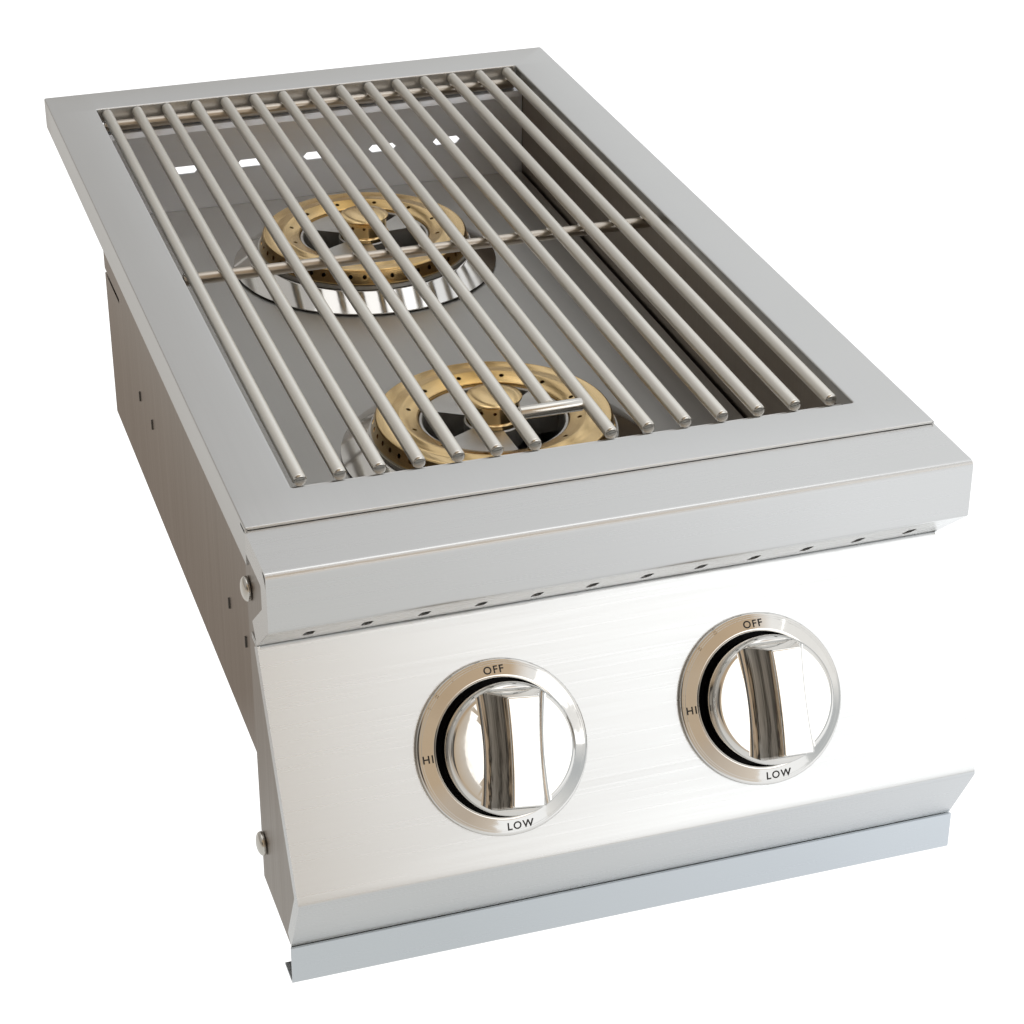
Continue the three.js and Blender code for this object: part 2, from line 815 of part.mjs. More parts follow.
// Front ledge hung from the front wall, stepped up inside the frame's lip to carry the rods' ends
function frontLedge() {
  const step = openingFront + seat;
  const line = [
    [rodTips + frontLedgeLap, rodRest],
    [step, rodRest],
    [step, ledgeTop],
    [boxFront, ledgeTop],
    [boxFront, ledgeTop - frontLedgeFlange],
  ];
  const besideLips = [-1, 1].map((side) => {
    const [low, high] = onSide(side, openingWidth / 2 - seat, insideWalls + overrun);
    return box([low, openingFront, -openingLip - seat], [high, rodTips + frontLedgeLap + overrun, 0]);
  });
  return cut(alongX(folded(line), 2 * insideWalls), besideLips);
}

// A shallow tray with its rim turned down or up
function tray(halfX, front, rear, floor, rim) {
  const middle = (front + rear) / 2;
  const halfY = (rear - front) / 2;
  const outline = (inset) => roundRect(halfX - inset, halfY - inset, trayCorner)
    .map(([x, y]) => [x, y + middle]);
  const [low, high] = [floor, floor + rim].sort((p, q) => p - q);
  const block = alongZ(outline(0), high - low, low);
  const hollow = rim < 0
    ? alongZ(outline(sheet), high - low - sheet + overrun, low - overrun)
    : alongZ(outline(sheet), high - low - sheet + overrun, low + sheet);
  return cut(block, [hollow]);
}

// Floor tray under the grate, with an opening for each burner
function burnerTray() {
  const [from, to] = [-trayDrop - trayFlange - overrun, -trayDrop + overrun];
  const holes = [frontBurner, rearBurner].map((y) => drum(
    trayHoleRadius, from, to, roundSides, aim([0, y, 0], [0, 0, 1])));
  return cut(tray(wallInner - trayGap, boxFront, backWall - seat, -trayDrop, -trayFlange), holes);
}

// Base pan with two groups of air slots
function basePan() {
  const pan = tray(insideWalls, boxFront, backWall - seat, -boxDepth, panFlange);
  const vents = [-1, 1].flatMap((group) => Array.from({ length: panVentCount }, (_, i) => {
    const x = (i - (panVentCount - 1) / 2) * panVentPitch;
    const y = boxMiddle + group * panVentOffset;
    const outline = slot(panVentLength, panVentWidth).map(([along, across]) => [x + across, y + along]);
    return alongZ(outline, 2 * overrun, -boxDepth - overrun);
  }));
  return cut(pan, vents);
}

// Cooking grate: long rods with chamfered ends, cross rods under them and a short finger bar
function cookingGrate() {
  const rear = openingRear - rodRear;
  const fingerBar = rodTips + fingerDepth - fingerBarBack;
  const long = (start) => [
    [0, start],
    [rodRadius - rodTipChamfer, start],
    [rodRadius, start + rodTipChamfer],
    [rodRadius, rear - rodChamfer],
    [rodRadius - rodChamfer, rear],
    [0, rear],
  ];
  const middle = (rodCount - 1) / 2;
  const rods = Array.from({ length: rodCount }, (_, i) => {
    const start = i === middle ? fingerBar + rodRadius - weld : rodTips;
    const rod = new THREE.LatheGeometry(points(long(start)), rodSides);
    return solid(rod.translate((i - middle) * rodPitch, 0, -rodRadius));
  });
  const across = (half, y, z) => drum(rodRadius, -half, half, rodSides, aim([0, y, z], [1, 0, 0]));
  const crossHalf = middle * rodPitch + rodRadius;
  const crossMiddle = openingFront + crossMiddleShare * openingDepth;
  const crosses = [crossMiddle, openingRear - crossRear].map((y) => across(crossHalf, y, crossDrop));
  const bar = across(rodPitch - rodRadius + weld, fingerBar, -rodRadius);
  return join([...rods, ...crosses, bar]);
}

// Brass ring: an upturned channel with a row of ports round its outer wall
function burnerRing() {
  const inside = ringWall;
  const body = revolve([
    [ringRadius, -ringFoot],
    [ringShoulder, -ringShoulderDrop - ringEase],
    [ringShoulder - ringEase, -ringShoulderDrop],
    [ringCrest, -ringCrestDrop],
    [ringBore, -ringInnerDrop],
    [ringBore, -ringFoot],
    [ringBore + inside, -ringFoot],
    [ringBore + inside, -ringInnerDrop - inside],
    [ringCrest, -ringCrestDrop - inside],
    [ringShoulder - inside, -ringShoulderDrop - inside],
    [ringRadius - inside, -ringFoot],
  ], ringSides);
  const ports = Array.from({ length: portCount }, (_, i) => {
    const angle = 2 * Math.PI * (i + 1 / 2) / portCount;
    const outward = [Math.cos(angle), Math.sin(angle), 0];
    return drum(portRadius, ringShoulder - inside - overrun, ringRadius + overrun, portSides,
      aim([0, 0, -portDrop], outward));
  });
  return cut(body, ports);
}

// Brass centre cap: a thin disc over a groove, a wall, a flange and a spigot for the hub
function burnerCap() {
  const foot = -armDrop + seat;
  const discFoot = -capDrop - capDisc;
  const neckFoot = discFoot - capGroove;
  const bore = capWallRadius - capWall;
  const body = revolve([
    [0, -capDrop],
    [capRadius - capGroove, -capDrop],
    [capRadius, -capDrop - capGroove],
    [capRadius, discFoot],
    [capNeck, discFoot],
    [capNeck, neckFoot],
    [capWallRadius, neckFoot],
    [capWallRadius, foot + capFlange],
    [capRadius, foot + capFlange - capGroove],
    [capRadius, foot],
    [spigotRadius, foot],
    [spigotRadius, foot - spigotLength],
    [spigotRadius - spigotWall, foot - spigotLength],
    [spigotRadius - spigotWall, foot + capFlange],
    [bore, foot + capFlange],
    [bore, neckFoot - capGroove],
    [0, neckFoot - capGroove],
  ], midSides);
  return body;
}

// Burner casting: ring trough, three hollow arms, hub, mixing tube and legs
function burnerBase() {
  const land = -ringFoot - seat;
  const trough = revolve([
    [baseFlange, land],
    [baseFlange, land - baseFlangeThick],
    [troughOuter + troughWall, land - baseFlangeThick],
    [troughOuter + troughWall, -troughFloor - troughWall],
    [troughLipInner, -troughFloor - troughWall],
    [troughLipInner, -armDrop],
    [troughLipOuter, -armDrop],
    [troughLipOuter, land],
    [troughInner, land],
    [troughInner, -troughFloor],
    [troughOuter, -troughFloor],
    [troughOuter, land],
  ], roundSides);
  const armFoot = -armDrop - armHeight;
  const reach = (troughLipInner + troughLipOuter) / 2;
  const arms = armCentres.map((centre, i) => {
    const steps = 6;
    const edge = Array.from({ length: steps + 1 }, (_, k) => {
      const angle = THREE.MathUtils.degToRad(centre + armSpreads[i] * (k / steps - 1 / 2));
      return [reach * Math.cos(angle), reach * Math.sin(angle)];
    });
    return alongZ([[0, 0], ...edge], armHeight, armFoot);
  });
  const tubeRadius = mixerBore + mixerWall;
  const tube = revolve([
    [0, -mixerFoot],
    [tubeRadius + mixerFlare, -mixerFoot],
    [tubeRadius, -mixerFoot + 2 * mixerFlare],
    [tubeRadius, armFoot],
    [hubRadius, armFoot + mixerFlare],
    [hubRadius, -armDrop],
    [0, -armDrop],
  ], midSides);
  const bore = revolve([
    [0, -mixerFoot - overrun],
    [mixerBore + mixerFlare, -mixerFoot - overrun],
    [mixerBore + mixerFlare, -mixerFoot],
    [mixerBore, -mixerFoot + 2 * mixerFlare],
    [mixerBore, -armDrop + overrun],
    [0, -armDrop + overrun],
  ], midSides);
  const legs = legAngles.map((degrees) => {
    const angle = THREE.MathUtils.degToRad(degrees);
    const place = [legCircle * Math.cos(angle), legCircle * Math.sin(angle), 0];
    return drum(legRadius, -bracketDrop + seat, armFoot + weld, smallSides, aim(place, [0, 0, 1]));
  });
  const level = (armFoot + land) / 2;
  const passages = armCentres.map((degrees) => {
    const way = new THREE.BoxGeometry(troughInner + overrun, passageWidth, passageHeight);
    way.translate((troughInner + overrun) / 2, 0, level);
    return solid(way.rotateZ(THREE.MathUtils.degToRad(degrees)));
  });
  return cut(join([trough, ...arms, tube, ...legs]), [bore, ...passages]);
}

// Polished drip bowl: a flared ring hung under the casting's flange
function dripBowl() {
  const collarDrop = ringFoot + seat + baseFlangeThick + seat;
  const line = [[bowlRim, -bowlRimDrop], [baseFlange, -collarDrop], [bowlCollar, -collarDrop]];
  return revolve(folded(line, bowlSheet, bowlBend), ringSides);
}

// Burner bracket: a channel across the firebox with tabs through the side walls
function burnerBracket() {
  const line = [
    [bracketHalf, -bracketDrop - bracketFlange],
    [bracketHalf, -bracketDrop],
    [-bracketHalf, -bracketDrop],
    [-bracketHalf, -bracketDrop - bracketFlange],
  ];
  const channel = alongX(folded(line), 2 * insideWalls);
  const tabs = [-1, 1].flatMap((side) => [-1, 1].map((edge) => {
    const [low, high] = onSide(side, insideWalls - weld, wallOuter + tabProud);
    const [start, end] = onSide(edge, bracketHalf - sheet, bracketHalf);
    return box([low, start, tabFoot], [high, end, tabCrown]);
  }));
  return join([channel, ...tabs]);
}

// Injector holder on the bracket: foot, post and inlet nut facing the front
function injectorHolder() {
  const foot = -bracketDrop + seat;
  const plate = box([-injectorFootHalf, -injectorFootHalf, foot], [injectorFootHalf, injectorFootHalf,
    foot + injectorFoot]);
  const post = drum(injectorBody, foot, foot + injectorHeight, midSides);
  const inlet = aim([0, 0, feedLow], [0, -1, 0]);
  const nut = drum(nutRadius, 0, injectorInletReach, 6, inlet);
  const socket = drum(
    feedRadius + seat, injectorInletReach - nutSocket, injectorInletReach + overrun, midSides, inlet);
  return cut(join([plate, post, nut]), [socket]);
}

// Brass injector: a hexagon with a drilled tip
function injector() {
  const foot = -bracketDrop + 2 * seat + injectorHeight;
  const hex = drum(injectorHex, foot, foot + nozzleLength / 2, 6);
  const tip = drum(nozzleRadius, foot, foot + nozzleLength, smallSides);
  const orifice = drum(orificeRadius, foot + nozzleLength / 2, foot + nozzleLength + overrun, 6);
  return cut(join([hex, tip]), [orifice]);
}

// Feed pipe from a valve's outlet, through the front wall and down to its injector holder
function feedPipe(side, burner) {
  const x = side * knobSpacing / 2;
  const start = new THREE.Vector3(0, outletReach - nutSocket + seat, -pipeBehind)
    .applyMatrix4(valveFrame(side));
  const inletFace = burner - injectorInletReach;
  const turnIn = inletFace - feedLead;
  const corners = [
    start.toArray(),
    [x, feedTopFront, feedTop],
    [x, frontWallRear + feedLead, feedTop],
    [x, frontWallRear + 2 * feedLead, feedLow],
    [x, turnIn - Math.abs(x) / 2, feedLow],
    [0, turnIn, feedLow],
    [0, inletFace + nutSocket - seat, feedLow],
  ];
  return bentBar(corners, feedRadius, feedBend, feedSides);
}

// Manifold pipe under the valves, closed at one end, with a boss for each valve
function gasManifold() {
  const along = aim([0, ...pipePlace], [1, 0, 0]);
  const pipe = drum(pipeRadius, -pipeReach, pipeReach, midSides, along);
  const endCap = drum(hexRadius + seat, -pipeReach - hexThick, -pipeReach + weld, 6, along);
  const bore = drum(pipeBore, -pipeReach + sheet, pipeReach + overrun, midSides, along);
  const up = [0, Math.sin(panelTilt), Math.cos(panelTilt)];
  const bossFrames = [-1, 1].map((side) => aim([side * knobSpacing / 2, ...pipePlace], up));
  const bosses = bossFrames.map((place) => drum(pipeBossRadius, 0, bossReach, midSides, place));
  const threads = bossFrames.map((place) => drum(
    stubRadius + seat, 0, bossReach + overrun, midSides, place));
  return cut(join([pipe, endCap, ...bosses]), [bore, ...threads]);
}

// Inlet elbow at the open end of the manifold, turned down to the gas line
function inletElbow() {
  const along = aim([0, ...pipePlace], [1, 0, 0]);
  const face = pipeReach + seat;
  const turnAt = face + hexThick + elbowRadius;
  const down = aim([turnAt, ...pipePlace], [0, 0, -1]);
  const spigot = drum(pipeBore - seat, pipeReach - hexThick, face + weld, midSides, along);
  const hex = drum(hexRadius + seat, face, face + hexThick, 6, along);
  const arm = drum(elbowRadius, face + hexThick - weld, turnAt + elbowRadius, midSides, along);
  const leg = drum(elbowRadius - seat, 0, elbowReach, midSides, down);
  const nipple = drum(elbowRadius - seat - sheet, elbowReach - weld, elbowDrop, midSides, down);
  const bore = drum(feedRadius, elbowReach, elbowDrop + overrun, smallSides, down);
  return cut(join([spigot, hex, arm, leg, nipple]), [bore]);
}

// Strap that holds the manifold off the front wall
function manifoldStrap(side) {
  const x = side * strapAt;
  const [y, z] = pipePlace;
  const wallFace = frontWallRear - sheet - seat;
  const along = aim([0, y, z], [1, 0, 0]);
  const [low, high] = [x - strapWidth / 2, x + strapWidth / 2];
  const hoop = drum(pipeRadius + seat + strapThick, low, high, midSides, along);
  const arm = box([low, y + pipeRadius + seat, z - strapThick / 2], [high, wallFace, z + strapThick / 2]);
  const foot = box([low, wallFace - strapThick, z - strapFoot / 2], [high, wallFace, z + strapFoot / 2]);
  const eye = drum(pipeRadius + seat, low - overrun, high + overrun, midSides, along);
  return cut(join([hoop, arm, foot]), [eye]);
}

// Bezel: polished flange with a rolled inner rim and a deep cup through the panel
function bezel() {
  const cupOuter = bezelOpening + bezelSheet;
  const floor = -cupDepth;
  const body = revolve([
    [bezelRadius, seat],
    [bezelRadius, seat + bezelSheet],
    [bezelRadius - 3 * bezelRoll, bezelHeight],
    [cupOuter + bezelRoll, bezelLip],
    [bezelOpening, bezelLip - bezelRoll],
    [bezelOpening, floor],
    [bezelStemHole, floor],
    [bezelStemHole, floor - bezelSheet],
    [cupOuter, floor - bezelSheet],
    [cupOuter, bezelLip - bezelSheet],
    [bezelRadius - 3 * bezelRoll, bezelHeight - bezelSheet],
    [bezelRadius - bezelSheet, seat],
  ], roundSides);
  return cut(body, screwHoles(floor - bezelSheet - overrun, floor + overrun));
}

// Screws that hold the bezel, the valve cap and the valve body together
const screwPlaces = [-1, 1].map((end) => [end * screwSpacing / 2, 0, 0]);

function screwHoles(from, to) {
  return screwPlaces.map((place) => drum(screwShank + seat, from, to, smallSides, aim(place, [0, 0, 1])));
}

function bezelScrew(place) {
  const face = -cupDepth + seat;
  const head = drum(screwHead, face, face + screwHeadHeight, smallSides);
  const shank = drum(screwShank, face - screwLength, face + weld, smallSides);
  return join([head, shank]).translate(place);
}

// Valve cap plate behind the panel's bezel cup
const capPlateTop = -cupDepth - bezelSheet - seat;
const lugTop = capPlateTop - capPlate - seat;

function valveCap() {
  const plate = alongZ(slot(lugLength, lugWidth), capPlate, capPlateTop - capPlate);
  const stemHole = drum(stemRadius + seat, lugTop - overrun, capPlateTop + overrun, midSides);
  return cut(plate, [stemHole, ...screwHoles(lugTop, capPlateTop + overrun)]);
}

// Valve body: lug plate, barrel with a tapered bore, inlet stub below and outlet nut above
function valveBody() {
  const lug = alongZ(slot(lugLength, lugWidth), lugThick, lugTop - lugThick);
  const barrel = drum(barrelRadius, -barrelEnd, lugTop - lugThick + weld, midSides);
  const bore = revolve([
    [0, lugTop + overrun],
    [plugRadius + seat, lugTop + overrun],
    [plugRadius + seat, -plugStart],
    [plugTail + seat, -barrelEnd + boreFloor],
    [0, -barrelEnd + boreFloor],
  ], midSides);
  const below = aim([0, 0, -pipeBehind], [0, -1, 0]);
  const above = aim([0, 0, -pipeBehind], [0, 1, 0]);
  const stub = drum(stubRadius, plugRadius + gasway, stubReach, smallSides, below);
  const nut = drum(nutRadius, plugRadius + gasway, outletReach, 6, above);
  const ways = [
    drum(gasway, 0, stubReach + overrun, smallSides, below),
    drum(gasway, 0, outletReach, smallSides, above),
    drum(feedRadius + seat, outletReach - nutSocket, outletReach + overrun, midSides, above),
  ];
  return cut(join([lug, barrel, stub, nut]), [bore, ...screwHoles(lugTop - lugThick - overrun,
    lugTop + overrun), ...ways]);
}

// A round outline with a flat on its lower side
function dShape(radius, flat, steps = midSides) {
  const lean = Math.asin(flat / radius);
  return Array.from({ length: steps + 1 }, (_, i) => {
    const angle = -lean + (Math.PI + 2 * lean) * i / steps;
    return [radius * Math.cos(angle), radius * Math.sin(angle)];
  });
}

// Tapered plug with a socket for the stem and a gas way across it
function valvePlug() {
  const tail = -plugStart - plugLength;
  const body = revolve([[0, tail], [plugTail, tail], [plugRadius, -plugStart], [0, -plugStart]], midSides);
  const socket = alongZ(dShape(stemRadius + seat, stemFlat + seat), plugSocket + overrun,
    -plugStart - plugSocket);
  const way = drum(gasway, -plugRadius - overrun, plugRadius + overrun, smallSides,
    aim([0, 0, -pipeBehind - gasway], [1, 0, 0]));
  return cut(body, [socket, way]);
}

// Stem: a flatted shaft with a collar under the valve cap
function valveStem() {
  const shaft = alongZ(dShape(stemRadius, stemFlat), stemTip + stemTail, -stemTail);
  return join([shaft, drum(collarRadius, lugTop - collarThick, lugTop, midSides)]);
}

// Return spring between the stem's collar and the plug
class Helix extends THREE.Curve {
  constructor(radius, low, high, turns) {
    super();
    Object.assign(this, { radius, low, high, turns });
  }

  getPoint(t) {
    const angle = 2 * Math.PI * this.turns * t;
    return new THREE.Vector3(this.radius * Math.cos(angle), this.radius * Math.sin(angle),
      THREE.MathUtils.lerp(this.low, this.high, t));
  }
}

function returnSpring() {
  const low = -plugStart + seat + springWire;
  const high = lugTop - collarThick - seat - springWire;
  return sweep(new Helix(springRadius, low, high, springTurns), springWire, springSteps, springSides);
}

// Knob: a domed cup with a waisted grip bar across it and a hub for the stem
function knob() {
  const cup = revolve([
    [0, knobRim + knobDome],
    [knobRadius - knobWall, knobRim],
    [knobRadius - knobDraft / 2, knobRim - knobDraft],
    [knobRadius, knobRim - 2 * knobDraft],
    [knobRadius - knobDraft, knobFoot],
    [knobRadius - knobDraft - knobWall, knobFoot],
    [knobRadius - knobWall - knobDraft / 2, knobRim - 2 * knobDraft - knobWall / 2],
    [0, knobRim + knobDome - knobWall],
  ], roundSides);
  const hub = drum(knobHub, knobFoot, knobRim - weld, midSides);
  const rings = Array.from({ length: gripLevels + 1 }, (_, k) => {
    const rise = Math.min(k / (gripLevels - 1), 1);
    const waist = (1 - rise) ** 2;
    const last = k === gripLevels ? gripEdge : 0;
    const halfX = THREE.MathUtils.lerp(gripHalfWidth, gripFootHalfWidth, waist) - last;
    const halfY = THREE.MathUtils.lerp(gripHalfLength, gripFootHalfLength, waist) - last;
    const z = THREE.MathUtils.lerp(knobRim - weld, gripHeight - gripEdge, rise) + last;
    return roundRect(halfX, halfY, gripCorner).map(([x, y]) => [x, y, z]);
  });
  const rim = drum(knobRadius - knobWall / 2, knobFoot, gripHeight + overrun, roundSides);
  const grip = loft(rings).intersect(rim);
  const socket = alongZ(dShape(stemRadius + seat, stemFlat + seat), stemTip + seat - knobFoot + overrun,
    knobFoot - overrun);
  return cut(join([cup, hub, grip]), [socket]);
}

// The housing
add('top_frame', topFrame(), brushed());
add('nose_trim', noseTrim(), brushed());
add('control_panel', controlPanel(), brushed());
add('skirt_strip', skirtStrip(), brushed());
add('front_wall', frontWall(), brushed());
add('back_wall', backWallPanel(), brushed());
add('front_ledge', frontLedge(), brushed());
add('burner_tray', burnerTray(), trayGrey());
add('base_pan', basePan(), brushed());

const sides = { left: -1, right: 1 };
const levels = { upper: 0, lower: 1 };
for (const [name, side] of Object.entries(sides)) {
  add(`control_side_${name}`, controlSide(side), brushed());
  add(`firebox_side_${name}`, fireboxSide(side), brushed());
  for (const [level, row] of Object.entries(levels)) {
    const bolt = add(`side_bolt_${name}_${level}`, sideBolt(), polished());
    bolt.position.set(0, ...boltPlaces[row]);
    bolt.rotation.y = side * Math.PI / 2;
  }
}

add('cooking_grate', cookingGrate(), rodSatin());

// The two burners
for (const [name, y] of Object.entries({ front: frontBurner, rear: rearBurner })) {
  const burner = new THREE.Group();
  burner.position.y = y;
  object.add(burner);
  add(`burner_ring_${name}`, burnerRing(), brass(), burner);
  add(`burner_cap_${name}`, burnerCap(), brass(), burner);
  add(`burner_base_${name}`, burnerBase(), castAluminium(), burner);
  add(`drip_bowl_${name}`, dripBowl(), polished(), burner);
  add(`burner_bracket_${name}`, burnerBracket(), darkSteel(), burner);
  add(`injector_holder_${name}`, injectorHolder(), castAluminium(), burner);
  add(`injector_${name}`, injector(), brass(), burner);
}

// The gas train
add('gas_manifold', gasManifold(), darkSteel());
add('inlet_elbow', inletElbow(), brass());
add('feed_pipe_front', feedPipe(-1, frontBurner), castAluminium());
add('feed_pipe_rear', feedPipe(1, rearBurner), castAluminium());
for (const [name, side] of Object.entries(sides)) {
  add(`manifold_strap_${name}`, manifoldStrap(side), darkSteel());
  const valve = new THREE.Group();
  valve.applyMatrix4(valveFrame(side));
  object.add(valve);
  add(`bezel_${name}`, bezel(), polished(), valve);
  add(`valve_cap_${name}`, valveCap(), darkSteel(), valve);
  add(`valve_body_${name}`, valveBody(), castAluminium(), valve);
  add(`valve_plug_${name}`, valvePlug(), brass(), valve);
  add(`valve_stem_${name}`, valveStem(), polished(), valve);
  add(`return_spring_${name}`, returnSpring(), polished(), valve);
  add(`knob_${name}`, knob(), polished(), valve);
  screwPlaces.forEach((place, i) => {
    add(`bezel_screw_${name}_${i + 1}`, bezelScrew(place), darkSteel(), valve);
  });
}

// The origin lies in the middle of the base pan's underside
object.position.set(0, -boxMiddle, boxDepth);
object.updateMatrixWorld(true);

export default object;
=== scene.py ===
"""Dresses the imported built-in side burner: sheet metal, rods, brass, castings, knobs and their finishes."""
import math

import bpy
from bpy.props import FloatProperty, FloatVectorProperty, IntProperty, PointerProperty, StringProperty
from mathutils import Matrix, Vector


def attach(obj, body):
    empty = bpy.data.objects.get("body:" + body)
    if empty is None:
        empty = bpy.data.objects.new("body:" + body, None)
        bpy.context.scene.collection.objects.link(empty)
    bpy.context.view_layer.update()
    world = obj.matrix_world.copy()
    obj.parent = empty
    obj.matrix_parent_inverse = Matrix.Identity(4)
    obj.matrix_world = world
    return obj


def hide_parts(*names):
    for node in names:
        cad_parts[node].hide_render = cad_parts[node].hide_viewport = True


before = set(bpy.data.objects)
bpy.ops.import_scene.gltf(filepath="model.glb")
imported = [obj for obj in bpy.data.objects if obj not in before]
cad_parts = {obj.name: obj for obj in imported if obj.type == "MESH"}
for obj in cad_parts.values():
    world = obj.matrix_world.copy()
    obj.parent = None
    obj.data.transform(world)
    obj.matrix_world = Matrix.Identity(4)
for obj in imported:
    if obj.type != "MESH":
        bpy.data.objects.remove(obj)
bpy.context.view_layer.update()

bl_info = {
    "name": "Built-in side burner",
    "version": (1, 0, 0),
    "blender": (4, 5, 0),
    "location": "3D View > Sidebar > Side Burner",
    "description": "Models and finishes a stainless drop-in side burner with two brass ring burners",
    "category": "Object",
}

# Lengths below are millimetres, laid out as the source of the part lays them out:
# x from the middle, y from the joint of frame and nose, z from the top plane.
MIDDLE_Y = 263.4
TOP_Z = 204.5
TO_WORLD = Matrix.Translation((0, -MIDDLE_Y / 1000, TOP_Z / 1000)) @ Matrix.Scale(0.001, 4)
NEAR = 0.01

SHEET = 1.2
SEAT = 0.3
UNDER_TOP = SHEET + SEAT
BEND = 1.6
FRAME_HALF = 160.0
FRAME_DEPTH = 556.5
FRAME_LIP = 18
OPENING_LIP = 9
OPENING_HALF = 133.0
OPENING_FRONT = 28.0
OPENING_REAR = 527.0
CORNER_BEVEL = 1.6
CORNER_REACH = 1.7

NOSE_DEPTH = 38.5
NOSE_FACE_FOOT = -UNDER_TOP - 27.5
NOSE_FOOT = (-NOSE_DEPTH + 25.9, NOSE_FACE_FOOT - 21.8)
AIR_SLOTS = 12
SLOT_PITCH = 25.4

TILT = math.radians(30.4)
PANEL_TOP = (NOSE_FOOT[0], NOSE_FOOT[1] - SEAT)


def down_panel(run):
    """The (y, z) point that lies a run down the panel's face from its top edge."""
    return (PANEL_TOP[0] - run * math.sin(TILT), PANEL_TOP[1] - run * math.cos(TILT))


PANEL_FOOT = down_panel(113)
SKIRT_TOP = -TOP_Z + 20.5
CHAMFER_FOOT = (PANEL_FOOT[0] + 19.4, SKIRT_TOP)
KNOB_X = 61.0
KNOB_SPOT = down_panel(60.7)
# Degrees by which each knob stands off its OFF mark in the photograph, within its play on the stem
KNOB_PLAY = {"left": -6, "right": -2}
BURNERS = {"front": 157.0, "rear": 405.0}
SIDES = {"left": -1, "right": 1}
RING_FOOT = 55.0

ROD_RADIUS = 3.15
ROD_PITCH = 18.1
RODS_EACH_SIDE = 7
CROSS_DROP = 0.5 - 3 * ROD_RADIUS
CROSS_Y = (OPENING_FRONT + 252, OPENING_REAR - 7)


# Settings a user would change


def linear(colour):
    """The linear colour that Blender mixes, from an sRGB hex code; any other colour is linear already."""
    if not isinstance(colour, str):
        return tuple(colour)
    channels = [int(colour[i:i + 2], 16) / 255 for i in (0, 2, 4)]
    return tuple(c / 12.92 if c <= 0.04045 else ((c + 0.055) / 1.055) ** 2.4 for c in channels)


def colour_setting(name, description, code):
    return FloatVectorProperty(name=name, description=description, subtype="COLOR", size=3, min=0, max=1,
                               default=linear(code))


def number_setting(name, description, default, low, high, unit="NONE"):
    return FloatProperty(name=name, description=description, default=default, min=low, max=high, unit=unit)


def count_setting(name, description, default, low, high):
    return IntProperty(name=name, description=description, default=default, min=low, max=high)


class SheetSettings(bpy.types.PropertyGroup):
    bend_radius: number_setting("Bend radius", "Inner radius of every folded edge, in mm", BEND, 0.5, 3)
    bend_steps: count_setting("Bend steps", "Flats round each folded edge", 6, 2, 16)
    top_steel: colour_setting("Top steel", "Brushed sheet of the top frame and nose", "CACAC9")
    panel_steel: colour_setting("Panel steel", "Brushed sheet of the control panel", "D2D4D5")
    # Darker and browner than the inside lining of the same mill steel: painted shade and painted reflection
    # of the dim room on the firebox sides.
    side_steel_painted_shade: colour_setting("Side steel", "Mill finish sheet of the firebox", "8C8278")
    tray_steel: colour_setting("Tray steel", "Satin sheet of the burner tray", "BAB9B6")


class BurnerSettings(bpy.types.PropertyGroup):
    steps: count_setting("Round steps", "Flats round each turned burner part", 128, 24, 256)
    ring_ports: count_setting("Ring ports", "Gas ports round the outside of each ring", 48, 12, 72)
    port_radius: number_setting("Port radius", "Radius of one gas port, in mm", 1.25, 0.5, 2)
    brass: colour_setting("Brass", "Turned brass of rings, caps and injectors", "EBCD98")
    casting: colour_setting("Casting", "Sand cast aluminium of the burner bases", "CCCBC8")


class KnobSettings(bpy.types.PropertyGroup):
    off_word: StringProperty(name="Off word", description="Word at the top of each bezel", default="OFF")
    high_word: StringProperty(name="High word", description="Word at the left of each bezel", default="HI")
    low_word: StringProperty(name="Low word", description="Word at the foot of each bezel", default="LOW")
    letter_height: number_setting("Letter height", "Height of the bezel words, in mm", 3.3, 1, 5)
    chrome: colour_setting("Chrome", "Plating of knobs and bezels", "E2E0DC")


class StudioSettings(bpy.types.PropertyGroup):
    key_power: number_setting("Key power", "Power of the wide lamp in front, in watts", 4.0, 0, 200, "POWER")
    top_power: number_setting("Top power", "Power of the wide lamp above, in watts", 8, 0, 200, "POWER")
    lens: number_setting("Lens", "Focal length that matches the photograph, in mm", 84.55, 20, 200, "CAMERA")


# Modelling, in millimetres


def settings():
    return bpy.context.scene.side_burner


def leave_edit():
    bpy.ops.object.mode_set(mode="OBJECT")


def clear_selection():
    if bpy.context.object and bpy.context.object.mode != "OBJECT":
        leave_edit()
    bpy.ops.object.select_all(action="DESELECT")


def pick(piece):
    clear_selection()
    bpy.context.view_layer.objects.active = piece
    piece.select_set(True)
    return piece


def named(piece, name):
    piece.name = piece.data.name = name
    return piece


def apply_moves():
    bpy.ops.object.transform_apply(location=True, rotation=True, scale=True)


def open_all(piece):
    """Opens edit mode on a piece, with all of it selected."""
    pick(piece)
    bpy.ops.object.mode_set(mode="EDIT")
    bpy.ops.mesh.select_all(action="SELECT")


def choose(piece, kind, test):
    """Selects the edges or the faces of a piece that pass a test, and opens edit mode in that kind."""
    pick(piece)
    mesh = piece.data
    for group in (mesh.vertices, mesh.edges, mesh.polygons):
        group.foreach_set("select", [False] * len(group))
    if kind == "EDGE":
        for edge in mesh.edges:
            edge.select = test(*[mesh.vertices[i].co for i in edge.vertices])
    else:
        for face in mesh.polygons:
            face.select = test(face.center, face.normal)
    bpy.ops.object.mode_set(mode="EDIT")
    bpy.ops.mesh.select_mode(type=kind)


def extrude_chosen(step):
    bpy.ops.mesh.extrude_region_move(TRANSFORM_OT_translate={"value": step})


def bevel_chosen(offset, segments, clamp=False):
    """Bevels what is chosen and leaves edit mode."""
    bpy.ops.mesh.bevel(offset=offset, offset_type="OFFSET", segments=segments, affect="EDGES",
                       clamp_overlap=clamp)
    leave_edit()


def polar(radius, degrees):
    angle = math.radians(degrees)
    return (radius * math.cos(angle), radius * math.sin(angle))


